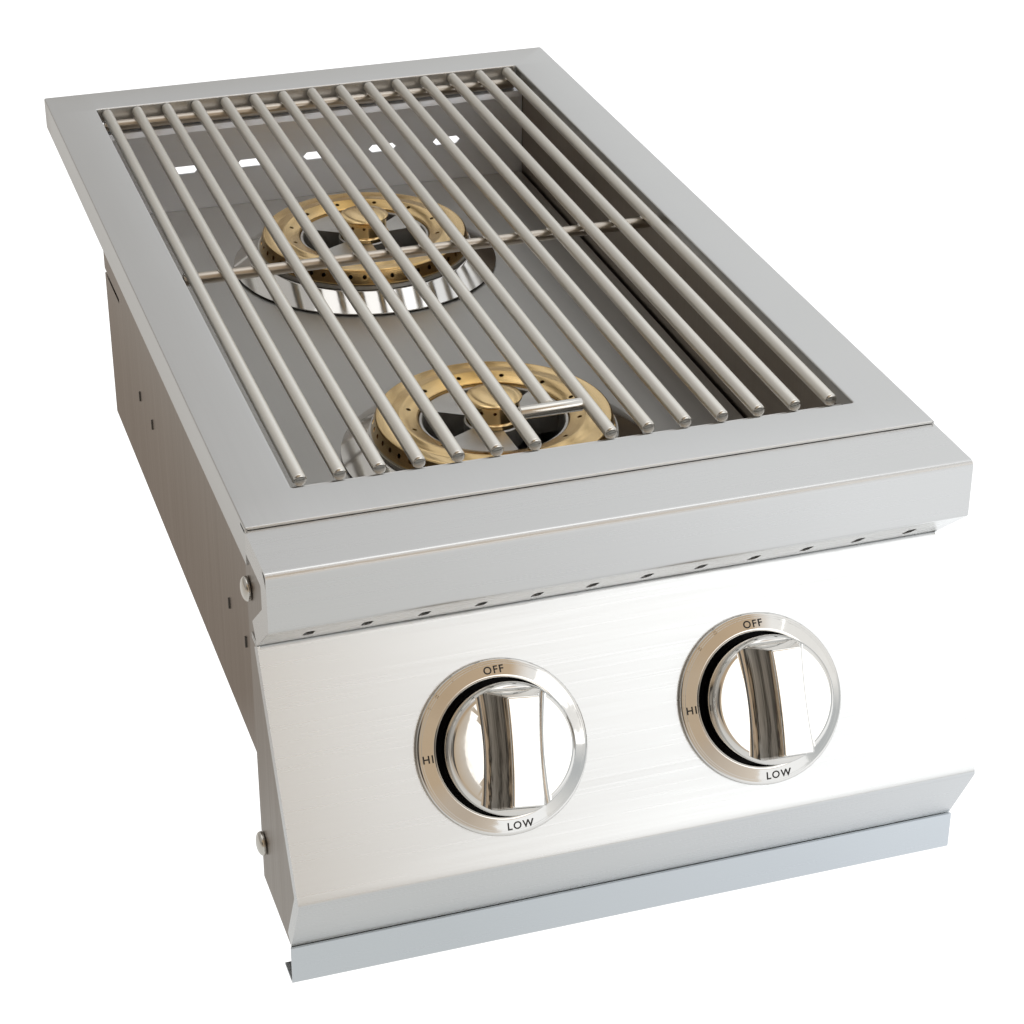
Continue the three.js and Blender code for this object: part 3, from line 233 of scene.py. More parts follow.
def rounded(corners, radius_of_turn, steps):
    """Rounds the inner corners of an open line, by a radius that depends on the way each one turns."""
    line = [tuple(corners[0])]
    for u, v, w in zip(corners, corners[1:], corners[2:]):
        u, v, w = Vector(u), Vector(v), Vector(w)
        arrive, leave = (v - u).normalized(), (w - v).normalized()
        turn = math.atan2(arrive.x * leave.y - arrive.y * leave.x, arrive.dot(leave))
        radius = radius_of_turn(turn)
        start = v - arrive * radius * math.tan(abs(turn) / 2)
        centre = start + Vector((-arrive.y, arrive.x)) * math.copysign(radius, turn)
        for k in range(steps + 1):
            line.append(tuple(centre + Matrix.Rotation(turn * k / steps, 2) @ (start - centre)))
    return line + [tuple(corners[-1])]


def left_of(corners, distance):
    """The same line, moved to its left by a distance."""
    ways = [(Vector(b) - Vector(a)).normalized() for a, b in zip(corners, corners[1:])]
    normals = [Vector((-way.y, way.x)) for way in ways]
    moved = []
    for i, corner in enumerate(corners):
        before, after = normals[max(i - 1, 0)], normals[min(i, len(normals) - 1)]
        moved.append(tuple(Vector(corner) + (before + after) * distance / (1 + before.dot(after))))
    return moved


def folded(corners, thickness=SHEET, bend=None):
    """Outline of a folded sheet, whose outer face follows the corners."""
    sheet = settings().sheet
    inner = sheet.bend_radius if bend is None else bend
    outer = inner + thickness
    near = rounded(corners, lambda turn: outer if turn > 0 else inner, sheet.bend_steps)
    far = rounded(left_of(corners, thickness), lambda turn: inner if turn > 0 else outer, sheet.bend_steps)
    return near + far[::-1]


def drawn_line(name, points, closed=False):
    """Draws a line of edges by extruding one vertex from point to point."""
    clear_selection()
    bpy.ops.mesh.primitive_plane_add(size=1, location=(0, 0, 0))
    piece = named(bpy.context.object, name)
    bpy.ops.object.mode_set(mode="EDIT")
    bpy.ops.mesh.select_mode(type="VERT")
    bpy.ops.mesh.select_all(action="SELECT")
    bpy.ops.mesh.merge(type="CENTER")
    bpy.ops.mesh.select_all(action="SELECT")
    bpy.ops.transform.translate(value=Vector(points[0]))
    for before, after in zip(points, points[1:]):
        extrude_chosen(Vector(after) - Vector(before))
    if closed:
        bpy.ops.mesh.select_all(action="SELECT")
        bpy.ops.mesh.edge_face_add()
    leave_edit()
    return piece


def face_out(piece):
    """Merges doubles and turns every face outwards."""
    open_all(piece)
    bpy.ops.mesh.remove_doubles(threshold=0.002)
    bpy.ops.mesh.normals_make_consistent(inside=False)
    leave_edit()
    return piece


def bar(name, outline, way, length, start):
    """A closed outline given as 2D points, extruded along x, y or z from a start."""
    axis = "xyz".index(way)
    step = [0, 0, 0]
    step[axis] = length
    piece = drawn_line(name, [(*point[:axis], start, *point[axis:]) for point in outline], closed=True)
    open_all(piece)
    extrude_chosen(step)
    leave_edit()
    return face_out(piece)


def turned(name, outline, steps=None):
    """Spins an outline of (radius, height) points round the z axis."""
    steps = steps or settings().burner.steps
    piece = drawn_line(name, [(radius, 0, height) for radius, height in outline])
    open_all(piece)
    bpy.ops.mesh.spin(steps=steps, angle=2 * math.pi, center=(0, 0, 0), axis=(0, 0, 1))
    leave_edit()
    return face_out(piece)


def ring_outline(points):
    """Closes an outline for a turned part that has a hole."""
    return list(points) + [points[0]]


def soften(points, radius, steps=4):
    """Rounds every corner of a closed outline."""
    corners = []
    count = len(points)
    for i in range(count):
        u, v, w = (Vector(points[(i + k) % count]) for k in (-1, 0, 1))
        reach = min(radius, (v - u).length * 0.45, (w - v).length * 0.45)
        start, end = v + (u - v).normalized() * reach, v + (w - v).normalized() * reach
        for k in range(steps + 1):
            t = k / steps
            corners.append(tuple((1 - t) ** 2 * start + 2 * t * (1 - t) * v + t * t * end))
    return corners


def join_pieces(name, parts):
    clear_selection()
    bpy.context.view_layer.objects.active = parts[0]
    for part in parts:
        part.select_set(True)
    bpy.ops.object.join()
    return named(parts[0], name)


def repeat(piece, moves):
    """Copies of a piece, each with its own mesh, moved by a list of matrices; the piece itself goes."""
    made = []
    for move in moves:
        pick(piece)
        bpy.ops.object.duplicate()
        copy = bpy.context.object
        copy.matrix_world = move
        apply_moves()
        made.append(copy)
    bpy.data.objects.remove(piece)
    return made


def combine(piece, other, operation):
    """Joins, cuts or keeps the overlap of two pieces, and applies it."""
    pick(piece)
    boolean = piece.modifiers.new("Combine", "BOOLEAN")
    boolean.object = other
    boolean.operation = operation
    boolean.solver = "EXACT"
    bpy.ops.object.modifier_apply(modifier=boolean.name)
    bpy.data.objects.remove(other)
    return piece


def round_edges(piece, width, segments=3):
    """Rounds every edge of a piece that turns by more than 40 degrees."""
    pick(piece)
    bevel = piece.modifiers.new("Round", "BEVEL")
    bevel.width = width
    bevel.segments = segments
    bevel.limit_method = "ANGLE"
    bevel.angle_limit = math.radians(40)
    bpy.ops.object.modifier_apply(modifier=bevel.name)
    return piece


def cylinder(name, radius, low, high, steps, move=None):
    """A straight pin about z, from low to high, then moved by a matrix."""
    clear_selection()
    bpy.ops.mesh.primitive_cylinder_add(vertices=steps, radius=radius, depth=high - low,
                                        location=(0, 0, (low + high) / 2))
    piece = named(bpy.context.object, name)
    apply_moves()
    if move is not None:
        piece.matrix_world = move
        apply_moves()
    return piece


def shift(*place):
    return Matrix.Translation(place)


def aim(origin, direction):
    """A matrix that carries the z axis to a direction at an origin."""
    turn = Vector((0, 0, 1)).rotation_difference(Vector(direction)).to_matrix().to_4x4()
    return Matrix.Translation(origin) @ turn


def valve_axis(side):
    """Carries a piece laid out along its own z axis to a valve: z out of the panel, y up the panel."""
    sine, cosine = math.sin(TILT), math.cos(TILT)
    turn = Matrix(((1, 0, 0), (0, sine, -cosine), (0, cosine, sine))).to_4x4()
    return shift(side * KNOB_X, *KNOB_SPOT) @ turn


MATERIALS = {}


def settle(piece, body, slot, finish, *nodes, move=None, smooth=30, second=None):
    """Puts a finished piece into the frame, in metres, with its finish, body and the nodes it replaces; the
    slot is not used.
    A second (finish, test) goes on the faces whose centre and normal pass the test, in the piece's own mm."""
    pick(piece)
    mesh = piece.data
    marked = [face.index for face in mesh.polygons if second and second[1](face.center, face.normal)]
    piece.matrix_world = TO_WORLD @ (move or Matrix.Identity(4)) @ piece.matrix_world
    apply_moves()
    bpy.ops.object.shade_smooth_by_angle(angle=math.radians(smooth))
    mesh.materials.clear()
    mesh.materials.append(MATERIALS[finish])
    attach(piece, body)
    if nodes:
        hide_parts(*nodes)
    if second:
        mesh.materials.append(MATERIALS[second[0]])
    for index in marked:
        mesh.polygons[index].material_index = 1


def settle_at_burners(piece, stem, slot, finish, node, body="housing"):
    """Settles a copy of a piece at each burner, whose name fills the {} in the finish and the body."""
    copies = repeat(piece, [shift(0, y, 0) for y in BURNERS.values()])
    for name, copy in zip(BURNERS, copies):
        settle(named(copy, f"{stem}_{name}"), body.format(name), slot, finish.format(name), f"{node}_{name}")


# Materials


def add_node(tree, kind, values=()):
    """Adds a node and fills its properties and sockets by name or number; outputs are linked."""
    node = tree.nodes.new("ShaderNode" + kind)
    for name, value in dict(values).items():
        if isinstance(value, bpy.types.NodeSocket):
            tree.links.new(value, node.inputs[name])
        elif isinstance(name, int) or name in node.inputs:
            node.inputs[name].default_value = value
        else:
            setattr(node, name, value)
    return node


def new_material(name):
    """An empty material, its node tree, and the output that gives places on the piece in metres."""
    material = bpy.data.materials.new(name)
    material.use_nodes = True
    tree = material.node_tree
    tree.nodes.clear()
    return material, tree, add_node(tree, "TexCoord").outputs["Object"]


def mapped(tree, place, **values):
    return add_node(tree, "Mapping", {**values, "Vector": place}).outputs["Vector"]


def noise(tree, place, scale=1.0, detail=2.0, **more):
    values = {"Scale": scale, "Detail": detail, **more, "Vector": place}
    return add_node(tree, "TexNoise", values).outputs["Fac"]


def spread(tree, value, low, high, new_low=0.0, new_high=1.0):
    """Maps a value from one range to another, and no further than its ends."""
    limits = {"From Min": low, "From Max": high, "To Min": new_low, "To Max": new_high}
    return add_node(tree, "MapRange", {**limits, "Value": value}).outputs["Result"]


def blend(tree, share, first, second, kind="MIX"):
    values = {"data_type": "RGBA", "blend_type": kind, 0: share, 6: first, 7: second}
    return add_node(tree, "Mix", values).outputs[2]


def calculate(tree, operation, *values):
    return add_node(tree, "Math", {"operation": operation, **dict(enumerate(values))}).outputs["Value"]


def split(tree, vector):
    return add_node(tree, "SeparateXYZ", {"Vector": vector}).outputs


def ramp(tree, source, *stops):
    """A colour ramp through (place, colour) stops, each colour an sRGB hex code or a linear colour."""
    node = add_node(tree, "ValToRGB", {"Fac": source})
    ramp_stops = node.color_ramp.elements
    while len(ramp_stops) < len(stops):
        ramp_stops.new(0.5)
    for element, (place, colour) in zip(ramp_stops, stops):
        element.position = place
        element.color = (*linear(colour), 1)
    return node.outputs["Color"]


def shade(colour, factor):
    return tuple(min(1.0, c * factor) for c in linear(colour))


def finish_surface(tree, colour, roughness, bump, **more):
    """Principled shader with a colour and a roughness, and a bump of (height output, strength, metres)."""
    values = {"Base Color": colour, "Roughness": roughness, **more}
    if bump:
        height, strength, distance = bump
        bumped = add_node(tree, "Bump", {"Strength": strength, "Distance": distance, "Height": height})
        values["Normal"] = bumped.outputs["Normal"]
    shader = add_node(tree, "BsdfPrincipled", values)
    add_node(tree, "OutputMaterial", {"Surface": shader.outputs["BSDF"]})


def brushed_steel(name, colour, grain_way, low, high, contrast=0.018, line_mm=0.8, run_mm=120, bump=0.03):
    """Type 304 stainless sheet, brushed with a belt: fine straight grain, which stretches highlights.
    The belt's grain is about 0.1 mm wide; it is drawn line_mm wide, about 0.8, so that it shows."""
    material, tree, place = new_material(name)
    scale = [1000 / line_mm] * 3
    scale["xyz".index(grain_way)] = 1000 / run_mm
    grain = noise(tree, mapped(tree, place, Scale=scale))
    handled = noise(tree, place, 9.0, 4.0, Roughness=0.55)
    tone = ramp(tree, grain, (0.3, shade(colour, 1 - contrast)), (0.7, shade(colour, 1 + contrast)))
    cloudy = ramp(tree, handled, (0.3, shade(colour, 0.97)), (0.7, shade(colour, 1.02)))
    rough = spread(tree, grain, 0.25, 0.75, low, high)
    finish_surface(tree, blend(tree, 0.5, tone, cloudy), rough, (grain, bump, 0.0001), Metallic=1.0)
    return material


def polished_metal(name, colour, low, high, smear_mm=25):
    """Bright chrome plating over a buffed casting: mirror reflections, broken only by faint finger smears
    and a ripple 4 mm long."""
    material, tree, place = new_material(name)
    smear = noise(tree, place, 1000 / smear_mm, 5.0, Distortion=0.8)
    ripple = noise(tree, place, 1000 / 4.0, 1.0)
    tone = ramp(tree, smear, (0.35, shade(colour, 0.97)), (0.65, colour))
    rough = spread(tree, smear, 0.45, 0.75, low, high)
    finish_surface(tree, tone, rough, (ripple, 0.04, 0.0002), Metallic=1.0)
    return material


def chrome_with_painted_reflections(name):
    """Chrome over the buffing marks of a die cast grip, with painted reflections: dark, light and tan bands
    by height across the flank stand in for the room's unlit side mirrored in it, broken by streaks along the
    grip.
    The marks are some 0.2 mm apart; they are drawn about 0.9 mm wide so that they show."""
    material, tree, place = new_material(name)
    on_panel = mapped(tree, place, vector_type="TEXTURE", Location=tuple(TO_WORLD @ Vector((0, *KNOB_SPOT))),
                      Rotation=(math.pi / 2 - TILT, 0, 0))
    streak = noise(tree, mapped(tree, on_panel, Scale=(1000 / 0.9, 1000 / 45, 1000 / 0.9)))
    height = spread(tree, split(tree, on_panel)["Z"], 0.021, 0.039, -0.19, 0.81)
    reflection_band = calculate(tree, "MULTIPLY_ADD", streak, 0.38, height)
    # Painted reflection: bands of dark, light and tan, set by height on the flank.
    tone = ramp(tree, reflection_band, (0.03, "E8D5BD"), (0.09, "35322F"), (0.2, "DCDAD6"), (0.4, "B3AFA9"),
                (0.54, "6B6762"), (0.68, "C2BCB4"), (0.87, "55514D"), (0.96, "DCC8AE"))
    rough = spread(tree, streak, 0.3, 0.7, 0.3, 0.42)
    finish_surface(tree, tone, rough, (streak, 0.1, 0.0002), Metallic=1.0)
    return material


def turned_metal(name, colour, centre_y):
    """Brass turned on a lathe and a little heat tinted: rings of fine tool marks round the part's own axis.
    The tool's feed is about 0.2 mm; the marks are drawn 0.8 mm apart so that they show."""
    material, tree, place = new_material(name)
    centred = mapped(tree, place, Location=(0, -centre_y, 0))
    parts = split(tree, centred)
    flat = add_node(tree, "CombineXYZ", {"X": parts["X"], "Y": parts["Y"]}).outputs["Vector"]
    reach = add_node(tree, "VectorMath", {"operation": "LENGTH", 0: flat}).outputs["Value"]
    radial = add_node(tree, "CombineXYZ", {"X": reach, "Y": parts["Z"]}).outputs["Vector"]
    marks = noise(tree, radial, 1000 / 0.8)
    heat = noise(tree, centred, 14.0, 1.0, Distortion=0.2)
    tone = ramp(tree, heat, (0.35, "E0B976"), (0.55, colour), (0.75, shade(colour, 1.05)))
    rough = spread(tree, marks, 0.3, 0.7, 0.15, 0.24)
    round_about = add_node(tree, "Tangent", {"direction_type": "RADIAL", "axis": "Z"}).outputs["Tangent"]
    finish_surface(tree, tone, rough, (marks, 0.12, 0.00015), Metallic=1.0, Anisotropic=0.6,
                   Tangent=round_about)
    return material


def cast_metal(name, colour, low, high, grit_mm=0.9, depth=0.5):
    """Sand cast aluminium: dull, grainy skin with the print of the sand, and brighter high spots."""
    material, tree, place = new_material(name)
    sand = noise(tree, place, 1000 / grit_mm, 3.0, Roughness=0.7)
    skin = noise(tree, place, 45.0, 4.0)
    tone = ramp(tree, skin, (0.3, shade(colour, 0.86)), (0.7, shade(colour, 1.06)))
    rough = spread(tree, sand, 0.3, 0.7, low, high)
    finish_surface(tree, tone, rough, (sand, depth, 0.0002), Metallic=1.0)
    return material


def painted_ink(name, colour):
    """Screen printed epoxy ink: flat and nearly matt, a little thin in places."""
    material, tree, place = new_material(name)
    thin = noise(tree, place, 900.0)
    tone = ramp(tree, thin, (0.3, colour), (0.8, shade(colour, 2.2)))
    finish_surface(tree, tone, spread(tree, thin, 0, 1, 0.45, 0.65), None, IOR=1.5)
    return material


def per_side(*stems):
    return [f"{stem}_{side}" for stem in stems for side in SIDES]


def per_burner(*stems):
    return [f"{stem}_{name}" for stem in stems for name in BURNERS]


class SIDEBURNER_OT_finishes(bpy.types.Operator):
    """Makes every finish and gives each carried-over part its own"""
    bl_idname = "side_burner.finishes"
    bl_label = "Finishes"

    def sheets(self, sheet):
        """Stainless sheet and rod: for each finish its colour, the way of its grain and its roughness."""
        top, panel, side = sheet.top_steel, sheet.panel_steel, sheet.side_steel_painted_shade
        rod = {"line_mm": 0.7, "run_mm": 30}
        return {
            "top": brushed_steel("stainless_304_brushed_top", top, "y", 0.28, 0.34, bump=0.018),
            "nose": brushed_steel("stainless_304_brushed_nose", shade(top, 1.08), "x", 0.26, 0.32,
                                  bump=0.02),
            # The nose's vent slope: a much lighter copy of the same sheet, painted light.
            "slope": brushed_steel("stainless_304_brushed_slope_painted_light", shade(top, 1.5), "x", 0.24, 0.34),
            "panel": brushed_steel("stainless_304_brushed_panel", panel, "x", 0.26, 0.32, bump=0.018),
            # Painted shade: the firebox sides take the darker, browner copy of the mill steel.
            "side": brushed_steel("stainless_304_mill_side_painted_shade", side, "z", 0.3, 0.42, 0.01, bump=0.012),
            # The firebox's inside walls and pan: a much lighter copy of the mill steel, painted light against
            # the shade inside the firebox.
            "inner": brushed_steel("stainless_304_mill_inner_painted_light", "D4D3D1", "x", 0.3, 0.44, 0.04),
            # The back wall: a near-white, bluish copy of the mill steel, painted light that offsets its shade
            # and the warm reflections it picks up.
            "back": brushed_steel("stainless_304_mill_back_painted_light", "EEF1F7", "x", 0.48, 0.6, 0.02),
            "skirt": brushed_steel("stainless_304_brushed_skirt", "D2D8DD", "x", 0.26, 0.36),
            "tray": brushed_steel("stainless_304_satin_tray", sheet.tray_steel, "y", 0.34, 0.46, 0.03),
            "rod": brushed_steel("stainless_rod_satin", "DEDBD4", "y", 0.36, 0.46, 0.02, **rod),
            # The cross rods: a darker, warmer copy of the rod steel, painted shade where they lie under the
            # grate rods.
            "cross_rod": brushed_steel("stainless_rod_painted_shade", "BDB5AA", "x", 0.28, 0.38, 0.03,
                                       **rod),
        }

    def execute(self, context):
        user = settings()
        brass = user.burner.brass
        MATERIALS.update(self.sheets(user.sheet))
        MATERIALS.update({
            "bolt": polished_metal("stainless_bolt_polished", "CDCAC4", 0.1, 0.22),
            "chrome": polished_metal("chrome_plate_bright", user.knob.chrome, 0.03, 0.09),
            # The grip's flanks get chrome with painted reflection bands.
            "grip": chrome_with_painted_reflections("chrome_plate_painted_reflections"),
            "bowl": polished_metal("stainless_bowl_polished", "DAD8D4", 0.08, 0.18, 40),
            "casting": cast_metal("aluminium_sand_cast", user.burner.casting, 0.34, 0.52),
            "pipe": brushed_steel("aluminium_tube_drawn", "C6C5C1", "y", 0.3, 0.42),
            "plain": cast_metal("steel_plain_dark", "6A6763", 0.42, 0.6, 1.4, 0.25),
            "ink": painted_ink("epoxy_ink_black", "1B1A19"),
            # Black for the inside of the bezel cups and the screws in them: painted shade of the deep recess
            # under each knob.
            "black": painted_ink("satin_black_painted_shade", "141312"),
            "brass": cast_metal("brass_forged", brass, 0.25, 0.4, 1.2, 0.15),
        })
        wear = {
            "side": per_side("control_side", "firebox_side"),
            # Painted light: the lighter inside copy of the mill steel.
            "inner": ["front_wall", "front_ledge", "base_pan"],
            # Painted light: the back wall takes the near-white, bluish copy of the mill steel.
            "back": ["back_wall"],
            "tray": ["burner_tray"],
            "plain": ["gas_manifold", *per_side("manifold_strap", "valve_cap"),
                      *per_burner("burner_bracket")],
            "pipe": per_burner("feed_pipe"),
            "brass": ["inlet_elbow", *per_side("valve_plug"), *per_burner("injector")],
            "casting": [*per_side("valve_body"), *per_burner("injector_holder")],
            "bolt": per_side("valve_stem", "return_spring"),
            # The bezel screws sit in the cup's recess and get the same black painted shade.
            "black": [f"{name}_{row}" for name in per_side("bezel_screw") for row in (1, 2)],
        }
        for name, y in BURNERS.items():
            MATERIALS[f"brass_{name}"] = turned_metal(f"brass_turned_{name}", brass, (y - MIDDLE_Y) / 1000)
        for finish, names in wear.items():
            for name in names:
                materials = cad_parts[name].data.materials
                materials.clear()
                materials.append(MATERIALS[finish])
        return {"FINISHED"}


def in_opening(p, slack=NEAR):
    """True for a point within the opening of the frame's top, or within a slack of it."""
    return abs(p.x) < OPENING_HALF + slack and OPENING_FRONT - slack < p.y < OPENING_REAR + slack


def rim_line(p, q):
    """True for an edge on the outer outline of the frame's top, its rounded corners among them."""
    middle = (p + q) / 2
    return abs(middle.x) > FRAME_HALF - CORNER_REACH or middle.y > FRAME_DEPTH - CORNER_REACH


def opening_line(p, q):
    """True for an edge on the outline of the opening, its rounded corners among them."""
    for r in (p, q):
        near_side = abs(abs(r.x) - OPENING_HALF) < CORNER_REACH
        near_end = min(abs(r.y - OPENING_FRONT), abs(r.y - OPENING_REAR)) < CORNER_REACH
        if not in_opening(r) or not (near_side or near_end):
            return False
    return True


class SIDEBURNER_OT_top_frame(bpy.types.Operator):
    """Models the top frame: a sheet with lips turned down round its opening, at the sides and at the back"""
    bl_idname = "side_burner.top_frame"
    bl_label = "Top frame"

    def execute(self, context):
        clear_selection()
        bpy.ops.mesh.primitive_plane_add(size=1, location=(0, FRAME_DEPTH / 2, 0))
        piece = named(bpy.context.object, "top_frame_sheet")
        piece.scale = (2 * FRAME_HALF, FRAME_DEPTH, 1)
        apply_moves()
        bpy.ops.object.mode_set(mode="EDIT")
        for place, way in (((-OPENING_HALF, 0, 0), (1, 0, 0)), ((OPENING_HALF, 0, 0), (1, 0, 0)),
                           ((0, OPENING_FRONT, 0), (0, 1, 0)), ((0, OPENING_REAR, 0), (0, 1, 0))):
            bpy.ops.mesh.select_all(action="SELECT")
            bpy.ops.mesh.bisect(plane_co=place, plane_no=way)
        leave_edit()
        choose(piece, "FACE", lambda centre, normal: in_opening(centre, 0))
        bpy.ops.mesh.delete(type="FACE")
        leave_edit()

        def level(p, q):
            return min(p.z, q.z) > -NEAR

        def corner(p, q):
            """An upright edge at a corner of the rim or of the opening, the frame's open front left out."""
            upright = abs(p.z - q.z) > 1 and not (abs(p.y) < NEAR and abs(q.y) < NEAR)
            cut_in_side = abs(p.x) > OPENING_HALF + 1 and OPENING_FRONT - 1 < p.y < OPENING_REAR + 1
            cut_in_back = abs(p.x) < OPENING_HALF + 1 and p.y > FRAME_DEPTH - 1
            return upright and not cut_in_side and not cut_in_back

        choose(piece, "EDGE", rim_line)
        extrude_chosen((0, 0, -FRAME_LIP))
        leave_edit()
        choose(piece, "EDGE", lambda p, q: level(p, q) and opening_line(p, q))
        extrude_chosen((0, 0, -OPENING_LIP))
        leave_edit()
        choose(piece, "EDGE", corner)
        bevel_chosen(CORNER_BEVEL, 4)
        choose(piece, "EDGE", lambda p, q: level(p, q) and (rim_line(p, q) or opening_line(p, q)))
        bevel_chosen(settings().sheet.bend_radius + SHEET, 6, clamp=True)
        wall = piece.modifiers.new("Wall", "SOLIDIFY")
        wall.thickness = SHEET
        wall.offset = -1
        pick(piece)
        bpy.ops.object.modifier_apply(modifier=wall.name)
        choose(piece, "EDGE", lambda p, q: max(abs(p.y), abs(q.y)) < NEAR and level(p, q))
        bevel_chosen(0.5, 4)
        settle(piece, "housing", "housing_steel", "top", "top_frame", smooth=25)
        return {"FINISHED"}


def folded_rail(name, line, return_line, return_depth):
    """A sheet folded along x with a strip welded across each end, and the weld dressed to a small radius."""
    piece = bar(name, folded(line), "x", 2 * FRAME_HALF, -FRAME_HALF)
    strip_outline = folded(return_line, thickness=return_depth)
    strips = [bar(f"{name}_end_{side}", strip_outline, "x", sign * SHEET, sign * (FRAME_HALF - SHEET))
              for side, sign in SIDES.items()]
    for strip in strips:
        combine(piece, strip, "UNION")
    sheet = settings().sheet
    bend = sheet.bend_radius
    outer = rounded(return_line, lambda turn: bend + SHEET if turn > 0 else bend, sheet.bend_steps)

    def on_outer(p):
        flat = Vector((p.y, p.z))
        for a, b in zip(outer, outer[1:]):
            a, b = Vector(a), Vector(b)
            share = max(0.0, min(1.0, (flat - a).dot(b - a) / max((b - a).length_squared, 1e-9)))
            if (a + (b - a) * share - flat).length < 0.02:
                return True
        return False

    choose(piece, "EDGE", lambda p, q: abs(abs(p.x) - FRAME_HALF) < NEAR and abs(p.x - q.x) < NEAR
           and on_outer(p) and on_outer(q))
    bevel_chosen(1.0, 4, clamp=True)
    return piece


def slot_outline(length, width, steps=8):
    """An obround, long along its first axis."""
    half, radius = (length - width) / 2, width / 2
    points = []
    for end in (1, -1):
        for k in range(steps + 1):
            angle = math.pi * (k / steps - 0.5)
            points.append((end * (half + radius * math.cos(angle)), end * radius * math.sin(angle)))
    return points


class SIDEBURNER_OT_nose(bpy.types.Operator):
    """Models the nose: the folded front rail with the air slots in its lower slope"""
    bl_idname = "side_burner.nose"
    bl_label = "Nose"

    def execute(self, context):
        line = [(8, -UNDER_TOP), (-NOSE_DEPTH, -UNDER_TOP), (-NOSE_DEPTH, NOSE_FACE_FOOT), NOSE_FOOT,
                (NOSE_FOOT[0] + 10, NOSE_FOOT[1])]
        piece = folded_rail("nose_sheet", line, [(0, -UNDER_TOP)] + line[1:4], 11)
        across = Vector((1, 0, 0))
        slope = Vector((0, NOSE_FOOT[0] + NOSE_DEPTH, NOSE_FOOT[1] - NOSE_FACE_FOOT)).normalized()
        out = slope.cross(across)
        turn = Matrix((slope, across, out)).transposed().to_4x4()
        tool = bar("air_slot", slot_outline(10.5, 4.5), "z", 8, -4)
        spot = Vector((0, -NOSE_DEPTH, NOSE_FACE_FOOT)) + slope * 20
        middle = (AIR_SLOTS - 1) / 2
        cuts = repeat(tool, [Matrix.Translation(spot + Vector(((i - middle) * SLOT_PITCH, 0, 0))) @ turn
                             for i in range(AIR_SLOTS)])
        combine(piece, join_pieces("air_slots", cuts), "DIFFERENCE")
        # The slope's faces take the lighter copy of the nose steel: painted light.
        settle(piece, "housing", "housing_steel", "nose", "nose_trim", smooth=25,
               second=("slope", lambda centre, normal: abs(normal.dot(out)) > 0.95))
        return {"FINISHED"}


class SIDEBURNER_OT_control_panel(bpy.types.Operator):
    """Models the sloping control panel with its two openings, and the skirt strip under it"""
    bl_idname = "side_burner.control_panel"
    bl_label = "Control panel"

    def execute(self, context):
        line = [(PANEL_TOP[0] + 10, PANEL_TOP[1]), PANEL_TOP, PANEL_FOOT, CHAMFER_FOOT,
                (CHAMFER_FOOT[0], CHAMFER_FOOT[1] - 11)]
        piece = folded_rail("panel_sheet", line, line[1:4], 7)
        for side, sign in SIDES.items():
            combine(piece, cylinder(f"panel_hole_{side}", 32.6, -5, 5, 96, valve_axis(sign)), "DIFFERENCE")
        settle(piece, "housing", "panel_steel", "panel", "control_panel", smooth=25)
        front = CHAMFER_FOOT[0] - UNDER_TOP
        outline = folded([(front, SKIRT_TOP), (front, -TOP_Z), (front + 15, -TOP_Z)])
        skirt = bar("skirt_sheet", outline, "x", 321, -160.5)
        settle(skirt, "housing", "housing_steel", "skirt", "skirt_strip", smooth=25)
        return {"FINISHED"}


class SIDEBURNER_OT_grate(bpy.types.Operator):
    """Models the cooking grate: solid rods with chamfered ends, welded to cross rods under them"""
    bl_idname = "side_burner.grate"
    bl_label = "Cooking grate"

    def rod(self, name, start, end, nose):
        piece = cylinder(name, ROD_RADIUS, start, end, 32, aim((0, 0, 0), (0, 1, 0)))
        choose(piece, "FACE", lambda centre, normal: normal.y < -0.9)
        bevel_chosen(nose, 3)
        choose(piece, "FACE", lambda centre, normal: normal.y > 0.9 and centre.y > end - NEAR)
        bevel_chosen(0.6, 2)
        return piece

    def cross_bar(self, name, half, y, z):
        return cylinder(name, ROD_RADIUS, -half, half, 32, aim((0, y, z), (1, 0, 0)))

    def execute(self, context):
        front, rear = OPENING_FRONT + 10.5, OPENING_REAR - 2
        finger = front + 32.5
        places = [i * ROD_PITCH for i in range(-RODS_EACH_SIDE, RODS_EACH_SIDE + 1)]
        rods = repeat(self.rod("rod", front, rear, 1.3),
                      [shift(x, 0, -ROD_RADIUS) for x in places if x])
        rods += repeat(self.rod("rod_short", finger + ROD_RADIUS - 0.5, rear, 0.3),
                       [shift(0, 0, -ROD_RADIUS)])
        settle(join_pieces("grate_rods", rods), "grate", "grate_steel", "rod", "cooking_grate", smooth=35,
               second=("bolt", lambda centre, normal: normal.y < -0.3 and centre.y < front + 2))
        half = RODS_EACH_SIDE * ROD_PITCH + ROD_RADIUS
        crosses = [self.cross_bar("cross_rod", half, y, CROSS_DROP) for y in CROSS_Y]
        cross = round_edges(join_pieces("grate_cross_rods", crosses), 0.5, 2)
        settle(cross, "grate", "grate_steel", "cross_rod", smooth=35)
        finger_bar = self.cross_bar("finger_bar", ROD_PITCH - ROD_RADIUS + 0.5, finger, -ROD_RADIUS)
        settle(round_edges(finger_bar, 0.8), "grate", "grate_steel", "bolt", smooth=35)
        clear_selection()
        bpy.ops.mesh.primitive_uv_sphere_add(segments=10, ring_count=6, radius=1)
        bead = named(bpy.context.object, "weld_bead")
        bead.scale = (1.5, 2.6, 1.1)
        apply_moves()
        spots = [shift(x + side * 1.6, y, -2 * ROD_RADIUS + 0.35)
                 for y in CROSS_Y for x in places for side in SIDES.values()]
        settle(join_pieces("grate_welds", repeat(bead, spots)), "grate", "grate_steel", "bolt", smooth=60)
        return {"FINISHED"}


def cut_ports(piece, rows):
    """Cuts rows of gas ports round the z axis, each row a (radius, low, high, place, count, first angle)."""
    ports = []
    for radius, low, high, place, count, first in rows:
        for i in range(count):
            turn = Matrix.Rotation(first + 2 * math.pi * i / count, 4, "Z")
            ports.append(cylinder("port", radius, low, high, 12, turn @ place))
    return combine(piece, join_pieces("ports", ports), "DIFFERENCE")


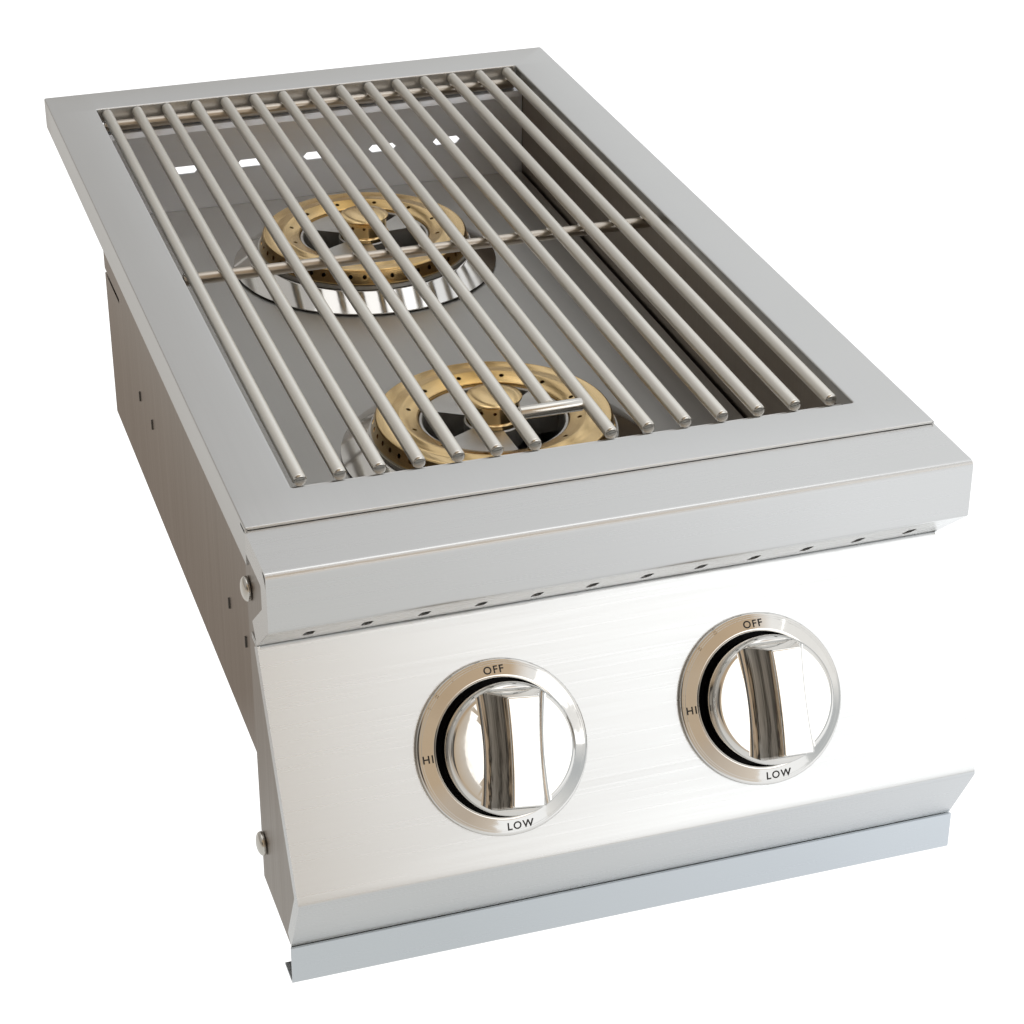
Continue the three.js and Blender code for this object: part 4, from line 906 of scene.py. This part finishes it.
class SIDEBURNER_OT_rings(bpy.types.Operator):
    """Models the two brass rings: turned channels with a row of gas ports outside and one inside"""
    bl_idname = "side_burner.rings"
    bl_label = "Burner rings"

    def execute(self, context):
        user = settings().burner
        outline = soften([
            (61.8, -RING_FOOT), (59.5, -47.3), (58.7, -46.5), (52.5, -46.9), (46.5, -46.0), (38.0, -48.5),
            (38.0, -RING_FOOT), (40.6, -RING_FOOT), (40.6, -51.1), (46.5, -48.6), (56.9, -49.1),
            (59.2, -RING_FOOT),
        ], 0.9)
        ring = turned("ring", ring_outline(outline))
        cut_ports(ring, [
            (user.port_radius, 55.5, 64, aim((0, 0, -50.5), (1, 0, 0)), user.ring_ports, 0.0),
            (user.port_radius, -52.5, -44, shift(43, 0, 0), 12, math.radians(67))])
        settle_at_burners(ring, "brass_ring", "burner_brass", "brass_{}", "burner_ring", "ring_{}")
        return {"FINISHED"}


class SIDEBURNER_OT_caps(bpy.types.Operator):
    """Models the brass centre caps: a thin domed disc over a groove and a ported wall"""
    bl_idname = "side_burner.caps"
    bl_label = "Burner caps"

    def execute(self, context):
        foot = -49.7
        disc = -38.0
        outline = [(0, -36.0), (5, -36.1), (10, -36.35), (13.2, -36.7), (13.95, -37.1), (14.2, -37.6),
                   (13.9, disc), (12.2, disc), (12.2, disc - 0.6), (12.8, disc - 0.7), (13.0, disc - 1.0),
                   (13.0, foot + 2.6), (13.8, foot + 2.2), (14.2, foot + 1.8), (14.2, foot), (8.7, foot),
                   (8.7, foot - 4.3), (7.0, foot - 4.3), (7.0, foot + 2.6), (10.0, foot + 2.6),
                   (10.0, disc - 1.2), (0, disc - 1.2)]
        cap = turned("cap", outline, 96)
        cut_ports(cap, [(0.9, 8.5, 15, aim((0, 0, -41.2), (1, 0, 0)), 12, math.pi / 12)])
        settle_at_burners(cap, "brass_cap", "burner_brass", "brass_{}", "burner_cap", "cap_{}")
        return {"FINISHED"}


class SIDEBURNER_OT_castings(bpy.types.Operator):
    """Models the burner castings: ring trough, three arms, hub, mixing tube and legs"""
    bl_idname = "side_burner.castings"
    bl_label = "Burner castings"

    def execute(self, context):
        land, arm_top, arm_foot = -RING_FOOT - SEAT, -50.0, -64.0
        arms = {24: 36, 130: 36, 240: 64}
        casting = turned("casting", ring_outline([
            (62.5, land), (62.5, land - 2), (56.5, land - 2), (56.5, -67.6), (55.6, -68.5), (36.7, -68.5),
            (35.8, -67.6), (35.8, arm_top - 0.5), (36.2, arm_top), (37.3, arm_top), (37.7, arm_top - 0.5),
            (37.7, land), (42, land), (42, -66), (54, -66), (54, land)]))
        for centre, width in arms.items():
            edge = [polar(36.7, centre + width * (k / 12 - 0.5)) for k in range(13)]
            combine(casting, bar("arm", [(0, 0)] + edge, "z", arm_top - arm_foot, arm_foot), "UNION")
        hub = turned("hub", [(0, -122), (15, -122), (15, -121), (12, -116), (12, arm_foot),
                             (15, arm_foot + 3), (15, arm_top - 0.6), (14.4, arm_top), (0, arm_top)], 64)
        combine(casting, hub, "UNION")
        bore = turned("bore", [(0, -125), (12, -125), (12, -122), (9, -116), (9, -47), (0, -47)], 48)
        combine(casting, bore, "DIFFERENCE")
        for degrees in (20, 139, 221):
            leg = cylinder("leg", 3.4, -137.7, arm_foot + 0.5, 24, shift(*polar(26, degrees), 0))
            combine(casting, leg, "UNION")
        for degrees in arms:
            way = bar("way", [(-4.5, -62.15), (4.5, -62.15), (4.5, -57.15), (-4.5, -57.15)], "y", 45, 0)
            way.matrix_world = Matrix.Rotation(math.radians(degrees - 90), 4, "Z")
            combine(casting, way, "DIFFERENCE")
        settle_at_burners(casting, "burner_casting", "cast_aluminium", "casting", "burner_base")
        return {"FINISHED"}


class SIDEBURNER_OT_bowls(bpy.types.Operator):
    """Models the polished drip bowls that flare out under the burners"""
    bl_idname = "side_burner.bowls"
    bl_label = "Drip bowls"

    def execute(self, context):
        drop = RING_FOOT + 2 * SEAT + 2
        bowl = turned("bowl", ring_outline(folded([(77, -65.5), (62.5, -drop), (57, -drop)], 1.0, bend=4)))
        settle_at_burners(bowl, "polished_bowl", "bowl_chrome", "bowl", "drip_bowl")
        return {"FINISHED"}


class SIDEBURNER_OT_bezels(bpy.types.Operator):
    """Models the chrome bezels with a stepped rim and a deep cup, and prints OFF, HI and LOW on their land"""
    bl_idname = "side_burner.bezels"
    bl_label = "Bezels"

    def word(self, text, degrees, reach, name):
        """A printed word, centred a little right of its place on the land, which rises towards the bore."""
        land_edge, land_height, land_rise, land_tilt = 36.35, 3.06, 0.216, math.radians(12.2)
        clear_selection()
        bpy.ops.object.text_add(location=(0, 0, 0))
        font = bpy.context.object.data
        font.body = text
        font.size = settings().knob.letter_height / 0.7
        font.align_x, font.align_y = "CENTER", "CENTER"
        font.extrude = 0.04
        font.offset = 0.1
        font.space_character = 1.2
        bpy.ops.object.convert(target="MESH")
        letters = named(bpy.context.object, name)
        angle = math.radians(degrees)
        around = Vector((-math.sin(angle), math.cos(angle), 0))
        spot = Vector((reach * math.cos(angle) + 0.9, reach * math.sin(angle)))
        place = Matrix.Translation((*spot, land_height + (land_edge - spot.length) * land_rise))
        letters.matrix_world = place @ Matrix.Rotation(land_tilt, 4, around)
        apply_moves()
        return letters

    def execute(self, context):
        user = settings().knob
        outline = ring_outline(
            [(38.5, 0.3), (38.7, 0.8), (38.75, 1.4), (38.65, 1.95), (38.4, 2.3), (38.1, 2.45), (37.4, 2.6),
             (37.25, 2.75), (36.5, 2.91), (36.35, 3.06), (34.9, 3.37), (33.4, 3.7), (31.7, 4.065),
             (31.5, 4.11), (31.25, 4.13), (30.6, 4.08), (30.42, 3.97), (30.35, 3.8), (30.35, -9.2),
             (30.1, -9.8), (29.6, -10), (5.5, -10), (5.5, -11), (31.4, -11), (31.4, 2.7), (36.4, 1.7),
             (37.5, 0.3)])
        words = {"off": (user.off_word, 90, 33.7), "high": (user.high_word, 179.5, 34.9),
                 "low": (user.low_word, 272, 34.7)}
        for side, sign in SIDES.items():
            bezel = turned(f"chrome_bezel_{side}", outline, 160)
            for x in (-16, 16):
                combine(bezel, cylinder("screw_hole", 1.9, -14, -7, 16, shift(x, 0, 0)), "DIFFERENCE")
            # The inside of the cup gets the black: painted shade of the recess under the knob.
            settle(bezel, "housing", "bezel_chrome", "chrome", f"bezel_{side}", move=valve_axis(sign),
                   second=("black", lambda centre, normal: centre.z < 3.6 and centre.xy.length < 30.5))
            for name, (text, degrees, reach) in words.items():
                letters = self.word(text, degrees, reach, f"word_{name}_{side}")
                settle(letters, "housing", "bezel_chrome", "ink", move=valve_axis(sign))
        return {"FINISHED"}


class SIDEBURNER_OT_knobs(bpy.types.Operator):
    """Models the chrome knobs: a dished disc with a waisted grip bar flowing out of it"""
    bl_idname = "side_burner.knobs"
    bl_label = "Knobs"

    def grip(self):
        """The grip bar: waisted in plan, with a small fillet at its foot and steep, leaning flanks."""
        foot, top, fillet, lean = 14.3, 6.2, 3.0, 0.286
        low, crest, foot_half, top_half = 19.0, 39.88, 26.4, 23.2
        fillet_top = low + 4.0
        flank = [(foot * (1 + 0.13 * t * t), 25.4 * t) for t in (k / 8 for k in range(-8, 9))]
        corner = foot * 1.13
        side = [(corner - 1.6, -foot_half), (corner - 0.5, -26.1), *flank, (corner - 0.5, 26.1),
                (corner - 1.6, foot_half)]
        piece = drawn_line("grip", [(x, y, low) for x, y in side + [(-x, -y) for x, y in side]], closed=True)
        turns = [(math.pi / 2 - lean) * k / 12 for k in range(13)]
        curve = [(foot - fillet * math.sin(a), fillet_top - fillet * math.cos(a)) for a in turns]
        last_width, last_height = curve[-1]
        curve += [(last_width + (top - last_width) * k / 5, last_height + (crest - last_height) * k / 5)
                  for k in range(1, 6)]
        open_all(piece)
        width, length, height = foot, foot_half, low
        for new_width, new_height in curve:
            new_length = top_half + 3.2 * (new_width - top) / (foot - top)
            extrude_chosen((0, 0, new_height - height))
            bpy.ops.transform.resize(value=(new_width / width, new_length / length, 1),
                                     center_override=(0, 0, new_height))
            width, length, height = new_width, new_length, new_height
        bevel_chosen(0.6, 3)
        return face_out(piece)

    def execute(self, context):
        dish, brim_radius = 25.6, 3.3
        crown = [(dish * k / 6, 20.2 - 0.25 * (k / 6) ** 2) for k in range(7)]
        brim = [(dish + brim_radius * math.sin(a), 16.25 + 3.7 * math.cos(a))
                for a in (math.radians(k * 10) for k in range(1, 10))]
        cup = [(28.0, 3.2), (27.8, 3.0), (25.8, 3.0), (25.7, 3.2), (26.3, 15.6), (25.2, 17.0), (0, 17.4)]

        # Flank faces of the grip, which take the chrome with painted reflection bands.
        def on_flank(centre, normal):
            return abs(normal.x) > 0.6 and 20.4 < centre.z < 39.4

        for side, sign in SIDES.items():
            knob = turned(f"chrome_knob_{side}", crown + brim + cup, 160)
            grip = self.grip()
            combine(grip, cylinder("grip_limit", 27.6, 5, 45, 160), "INTERSECT")
            combine(knob, grip, "UNION")
            combine(knob, cylinder("hub", 7.5, 3.0, 17.8, 48), "UNION")
            combine(knob, cylinder("socket", 4.3, 1, 13.3, 48), "DIFFERENCE")
            play = Matrix.Rotation(math.radians(KNOB_PLAY[side]), 4, "Z")
            settle(knob, f"knob_{side}", "knob_chrome", "chrome", f"knob_{side}",
                   move=valve_axis(sign) @ play, smooth=13, second=("grip", on_flank))
        return {"FINISHED"}


class SIDEBURNER_OT_bolts(bpy.types.Operator):
    """Models the domed bolts that hold the side plates of the control housing"""
    bl_idname = "side_burner.bolts"
    bl_label = "Side bolts"

    def execute(self, context):
        face = FRAME_HALF - UNDER_TOP + SEAT
        nut = FRAME_HALF - UNDER_TOP - SHEET - SEAT - SHEET - SEAT
        head, shank = 5.6, 2.2
        dome = [(head * math.cos(a), face + 1.2 + 2.4 * math.sin(a))
                for a in (math.radians(k * 11.25) for k in range(8))]
        outline = [(0, nut - 4.6), (1.7, nut - 4.6), (shank, nut - 4.1), (shank, face), (head - 0.3, face),
                   (head, face + 0.3), *dome, (0, face + 3.6)]
        for side, sign in SIDES.items():
            for level, drop in (("upper", 32), ("lower", 167)):
                bolt = turned(f"domed_bolt_{side}_{level}", outline, 48)
                combine(bolt, round_edges(cylinder("nut", 3.9, nut - 3.4, nut, 6), 0.3, 2), "UNION")
                settle(bolt, "housing", "fastener_steel", "bolt", f"side_bolt_{side}_{level}",
                       move=shift(0, 4.2, -drop) @ Matrix.Rotation(sign * math.pi / 2, 4, "Y"))
        return {"FINISHED"}


class SIDEBURNER_OT_stage(bpy.types.Operator):
    """Sets up the pale floor, the soft studio light and the camera at the photograph's place"""
    bl_idname = "side_burner.stage"
    bl_label = "Studio"

    def floor(self):
        """White paper, glowing for the camera and for glossy rays, with painted light that the steel mirrors:
        warmer and darker to the left, brighter to the right, and a painted shadow of the unit in a patch
        beside and behind it.
        """
        clear_selection()
        bpy.ops.mesh.primitive_plane_add(size=14, location=(0, 0, 0))
        floor = named(bpy.context.object, "studio_floor")
        floor.location.z = -0.0005
        material, tree, place = new_material("paper_backdrop_painted_light")
        rays = add_node(tree, "LightPath").outputs
        parts = split(tree, place)
        # Painted light on the glowing paper: darker and warmer to the left, brighter to the right.
        paper = ramp(tree, spread(tree, parts["X"], -0.7, 0.7), (0.0, "BFBAB3"), (0.44, "D2D2D0"),
                     (0.57, "E1E2E3"), (0.7, "F6F8FA"))
        # Painted shadow of the unit on the paper, close beside it and behind its front.
        shadow_beside = spread(tree, calculate(tree, "ABSOLUTE", parts["X"]), 0.25, 0.19)
        shadow_behind = spread(tree, parts["Y"], -0.2, -0.08)
        paper = blend(tree, calculate(tree, "MULTIPLY", shadow_beside, shadow_behind), paper, (*linear("A89F96"), 1))
        tone = blend(tree, rays["Is Camera Ray"], paper, (1, 1, 1, 1))
        matt = add_node(tree, "BsdfDiffuse", {"Color": (0.8, 0.8, 0.8, 1)})
        glow = add_node(tree, "Emission", {"Strength": 1.25, "Color": tone})
        seen = calculate(tree, "MAXIMUM", rays["Is Camera Ray"], rays["Is Glossy Ray"])
        both = add_node(tree, "MixShader", {0: seen, 1: matt.outputs["BSDF"], 2: glow.outputs["Emission"]})
        add_node(tree, "OutputMaterial", {"Surface": both.outputs["Shader"]})
        floor.data.materials.append(material)

    def room(self, scene):
        """The room that the steel mirrors: bright above and to the right, dim and banded in front."""
        world = bpy.data.worlds.new("soft_studio")
        scene.world = world
        world.use_nodes = True
        tree = world.node_tree
        tree.nodes.clear()
        parts = split(tree, add_node(tree, "TexCoord").outputs["Generated"])
        across = spread(tree, parts["X"], -1.0, 1.0)
        sky = ramp(tree, spread(tree, parts["Z"], 0.0, 0.6), (0.0, "D6D1CA"), (0.5, "EDEEEE"),
                   (1.0, "FBFCFD"))
        bright = ramp(tree, across, (0.2, "B9B5B0"), (0.56, "D2D0CE"), (0.68, "FAFBFC"), (0.8, "FFFFFF"))
        dim = ramp(tree, across, (0.0, "C4B39C"), (0.05, "B9A68F"), (0.07, "3A3633"), (0.11, "2A2725"),
                   (0.125, "B8B4AE"), (0.16, "9E9992"), (0.175, "3A3734"), (0.25, "524E49"),
                   (0.265, "8F8A83"), (0.29, "4A4642"), (0.35, "2F2D2B"), (0.37, "6E6861"),
                   (0.39, "C2AD92"), (0.56, "C6B7A4"), (0.6, "D3CBC1"), (0.645, "F8F8F7"))
        wall = ramp(tree, across, (0.4, "B9A48A"), (0.68, "C8B297"), (0.74, "FFFFFF"))
        ground = ramp(tree, across, (0.5, "C3B6A7"), (0.64, "E6DCD0"), (0.72, "F0F0EF"), (0.8, "C3C7CA"))
        dim = blend(tree, spread(tree, parts["Z"], 0.6, 0.7), dim, wall)
        dim = blend(tree, spread(tree, parts["Z"], 0.28, 0.16), dim, ground)
        ahead = spread(tree, parts["Y"], -0.2, -0.45)
        low = spread(tree, parts["Z"], 0.97, 0.88)
        lit = blend(tree, 1.0, sky, bright, "MULTIPLY")
        tone = blend(tree, calculate(tree, "MULTIPLY", ahead, low), lit, dim)
        seen = add_node(tree, "LightPath").outputs["Is Camera Ray"]
        soft = add_node(tree, "Background", {"Strength": 1.1, "Color": tone})
        white = add_node(tree, "Background", {"Strength": 1.0, "Color": (1, 1, 1, 1)})
        both = add_node(tree, "MixShader",
                        {0: seen, 1: soft.outputs["Background"], 2: white.outputs["Background"]})
        add_node(tree, "OutputWorld", {"Surface": both.outputs["Shader"]})

    def lamp(self, name, power, size, place, target):
        clear_selection()
        bpy.ops.object.light_add(type="AREA", location=place)
        lamp = named(bpy.context.object, name)
        lamp.data.energy = power
        lamp.data.shape = "RECTANGLE"
        lamp.data.size, lamp.data.size_y = size
        lamp.rotation_euler = (Vector(target) - Vector(place)).to_track_quat("-Z", "Y").to_euler()

    def camera(self, scene, lens):
        """The camera that the photograph was solved to."""
        bpy.ops.object.camera_add(location=(-0.3272, -1.1283, 0.7032))
        camera = named(bpy.context.object, "photo_camera")
        ahead = Vector((0.273, 0.8281, -0.4896)).normalized()
        right = Vector((0.9501, -0.312, 0.0021))
        right = (right - ahead * right.dot(ahead)).normalized()
        turn = Matrix((right, right.cross(ahead), -ahead)).transposed().to_4x4()
        camera.matrix_world = Matrix.Translation(camera.location) @ turn
        camera.data.sensor_width = 36
        camera.data.lens = lens
        camera.data.clip_start, camera.data.clip_end = 0.01, 50
        scene.camera = camera

    def execute(self, context):
        scene = bpy.context.scene
        user = settings().studio
        self.floor()
        self.room(scene)
        self.lamp("key_lamp", user.key_power, (1.25, 1.1), (0.95, -2.15, 1.2), (0, -0.3, 0.1))
        self.lamp("top_lamp", user.top_power, (1.8, 1.8), (0.1, 0.2, 2.4), (0, 0, 0.1))
        self.camera(scene, user.lens)
        scene.view_settings.view_transform = "Standard"
        clear_selection()
        return {"FINISHED"}


class SideBurnerSettings(bpy.types.PropertyGroup):
    sheet: PointerProperty(type=SheetSettings, name="Sheet metal", description="Folds and colours of sheets")
    burner: PointerProperty(type=BurnerSettings, name="Burners", description="Rings, ports and castings")
    knob: PointerProperty(type=KnobSettings, name="Knobs", description="Bezel words and plating")
    studio: PointerProperty(type=StudioSettings, name="Studio", description="Lamps and camera")


STEPS = (
    SIDEBURNER_OT_finishes, SIDEBURNER_OT_top_frame, SIDEBURNER_OT_nose, SIDEBURNER_OT_control_panel,
    SIDEBURNER_OT_grate, SIDEBURNER_OT_rings, SIDEBURNER_OT_caps, SIDEBURNER_OT_castings, SIDEBURNER_OT_bowls,
    SIDEBURNER_OT_bezels, SIDEBURNER_OT_knobs, SIDEBURNER_OT_bolts, SIDEBURNER_OT_stage,
)


class SIDEBURNER_PT_panel(bpy.types.Panel):
    """Lists the steps that model the side burner"""
    bl_idname = "SIDEBURNER_PT_panel"
    bl_label = "Side Burner"
    bl_space_type = "VIEW_3D"
    bl_region_type = "UI"
    bl_category = "Side Burner"

    def draw(self, context):
        for step in STEPS:
            self.layout.operator(step.bl_idname)
        for group in ("sheet", "burner", "knob", "studio"):
            box = self.layout.box()
            owner = getattr(context.scene.side_burner, group)
            for name in owner.bl_rna.properties.keys():
                if name not in ("rna_type", "name"):
                    box.prop(owner, name)


CLASSES = (SheetSettings, BurnerSettings, KnobSettings, StudioSettings, SideBurnerSettings, *STEPS,
           SIDEBURNER_PT_panel)


def register():
    for item in CLASSES:
        bpy.utils.register_class(item)
    bpy.types.Scene.side_burner = PointerProperty(type=SideBurnerSettings)


def unregister():
    del bpy.types.Scene.side_burner
    for item in reversed(CLASSES):
        bpy.utils.unregister_class(item)


def main():
    register()
    for step in STEPS:
        group, name = step.bl_idname.split(".")
        getattr(getattr(bpy.ops, group), name)()


if __name__ == "__main__":
    main()
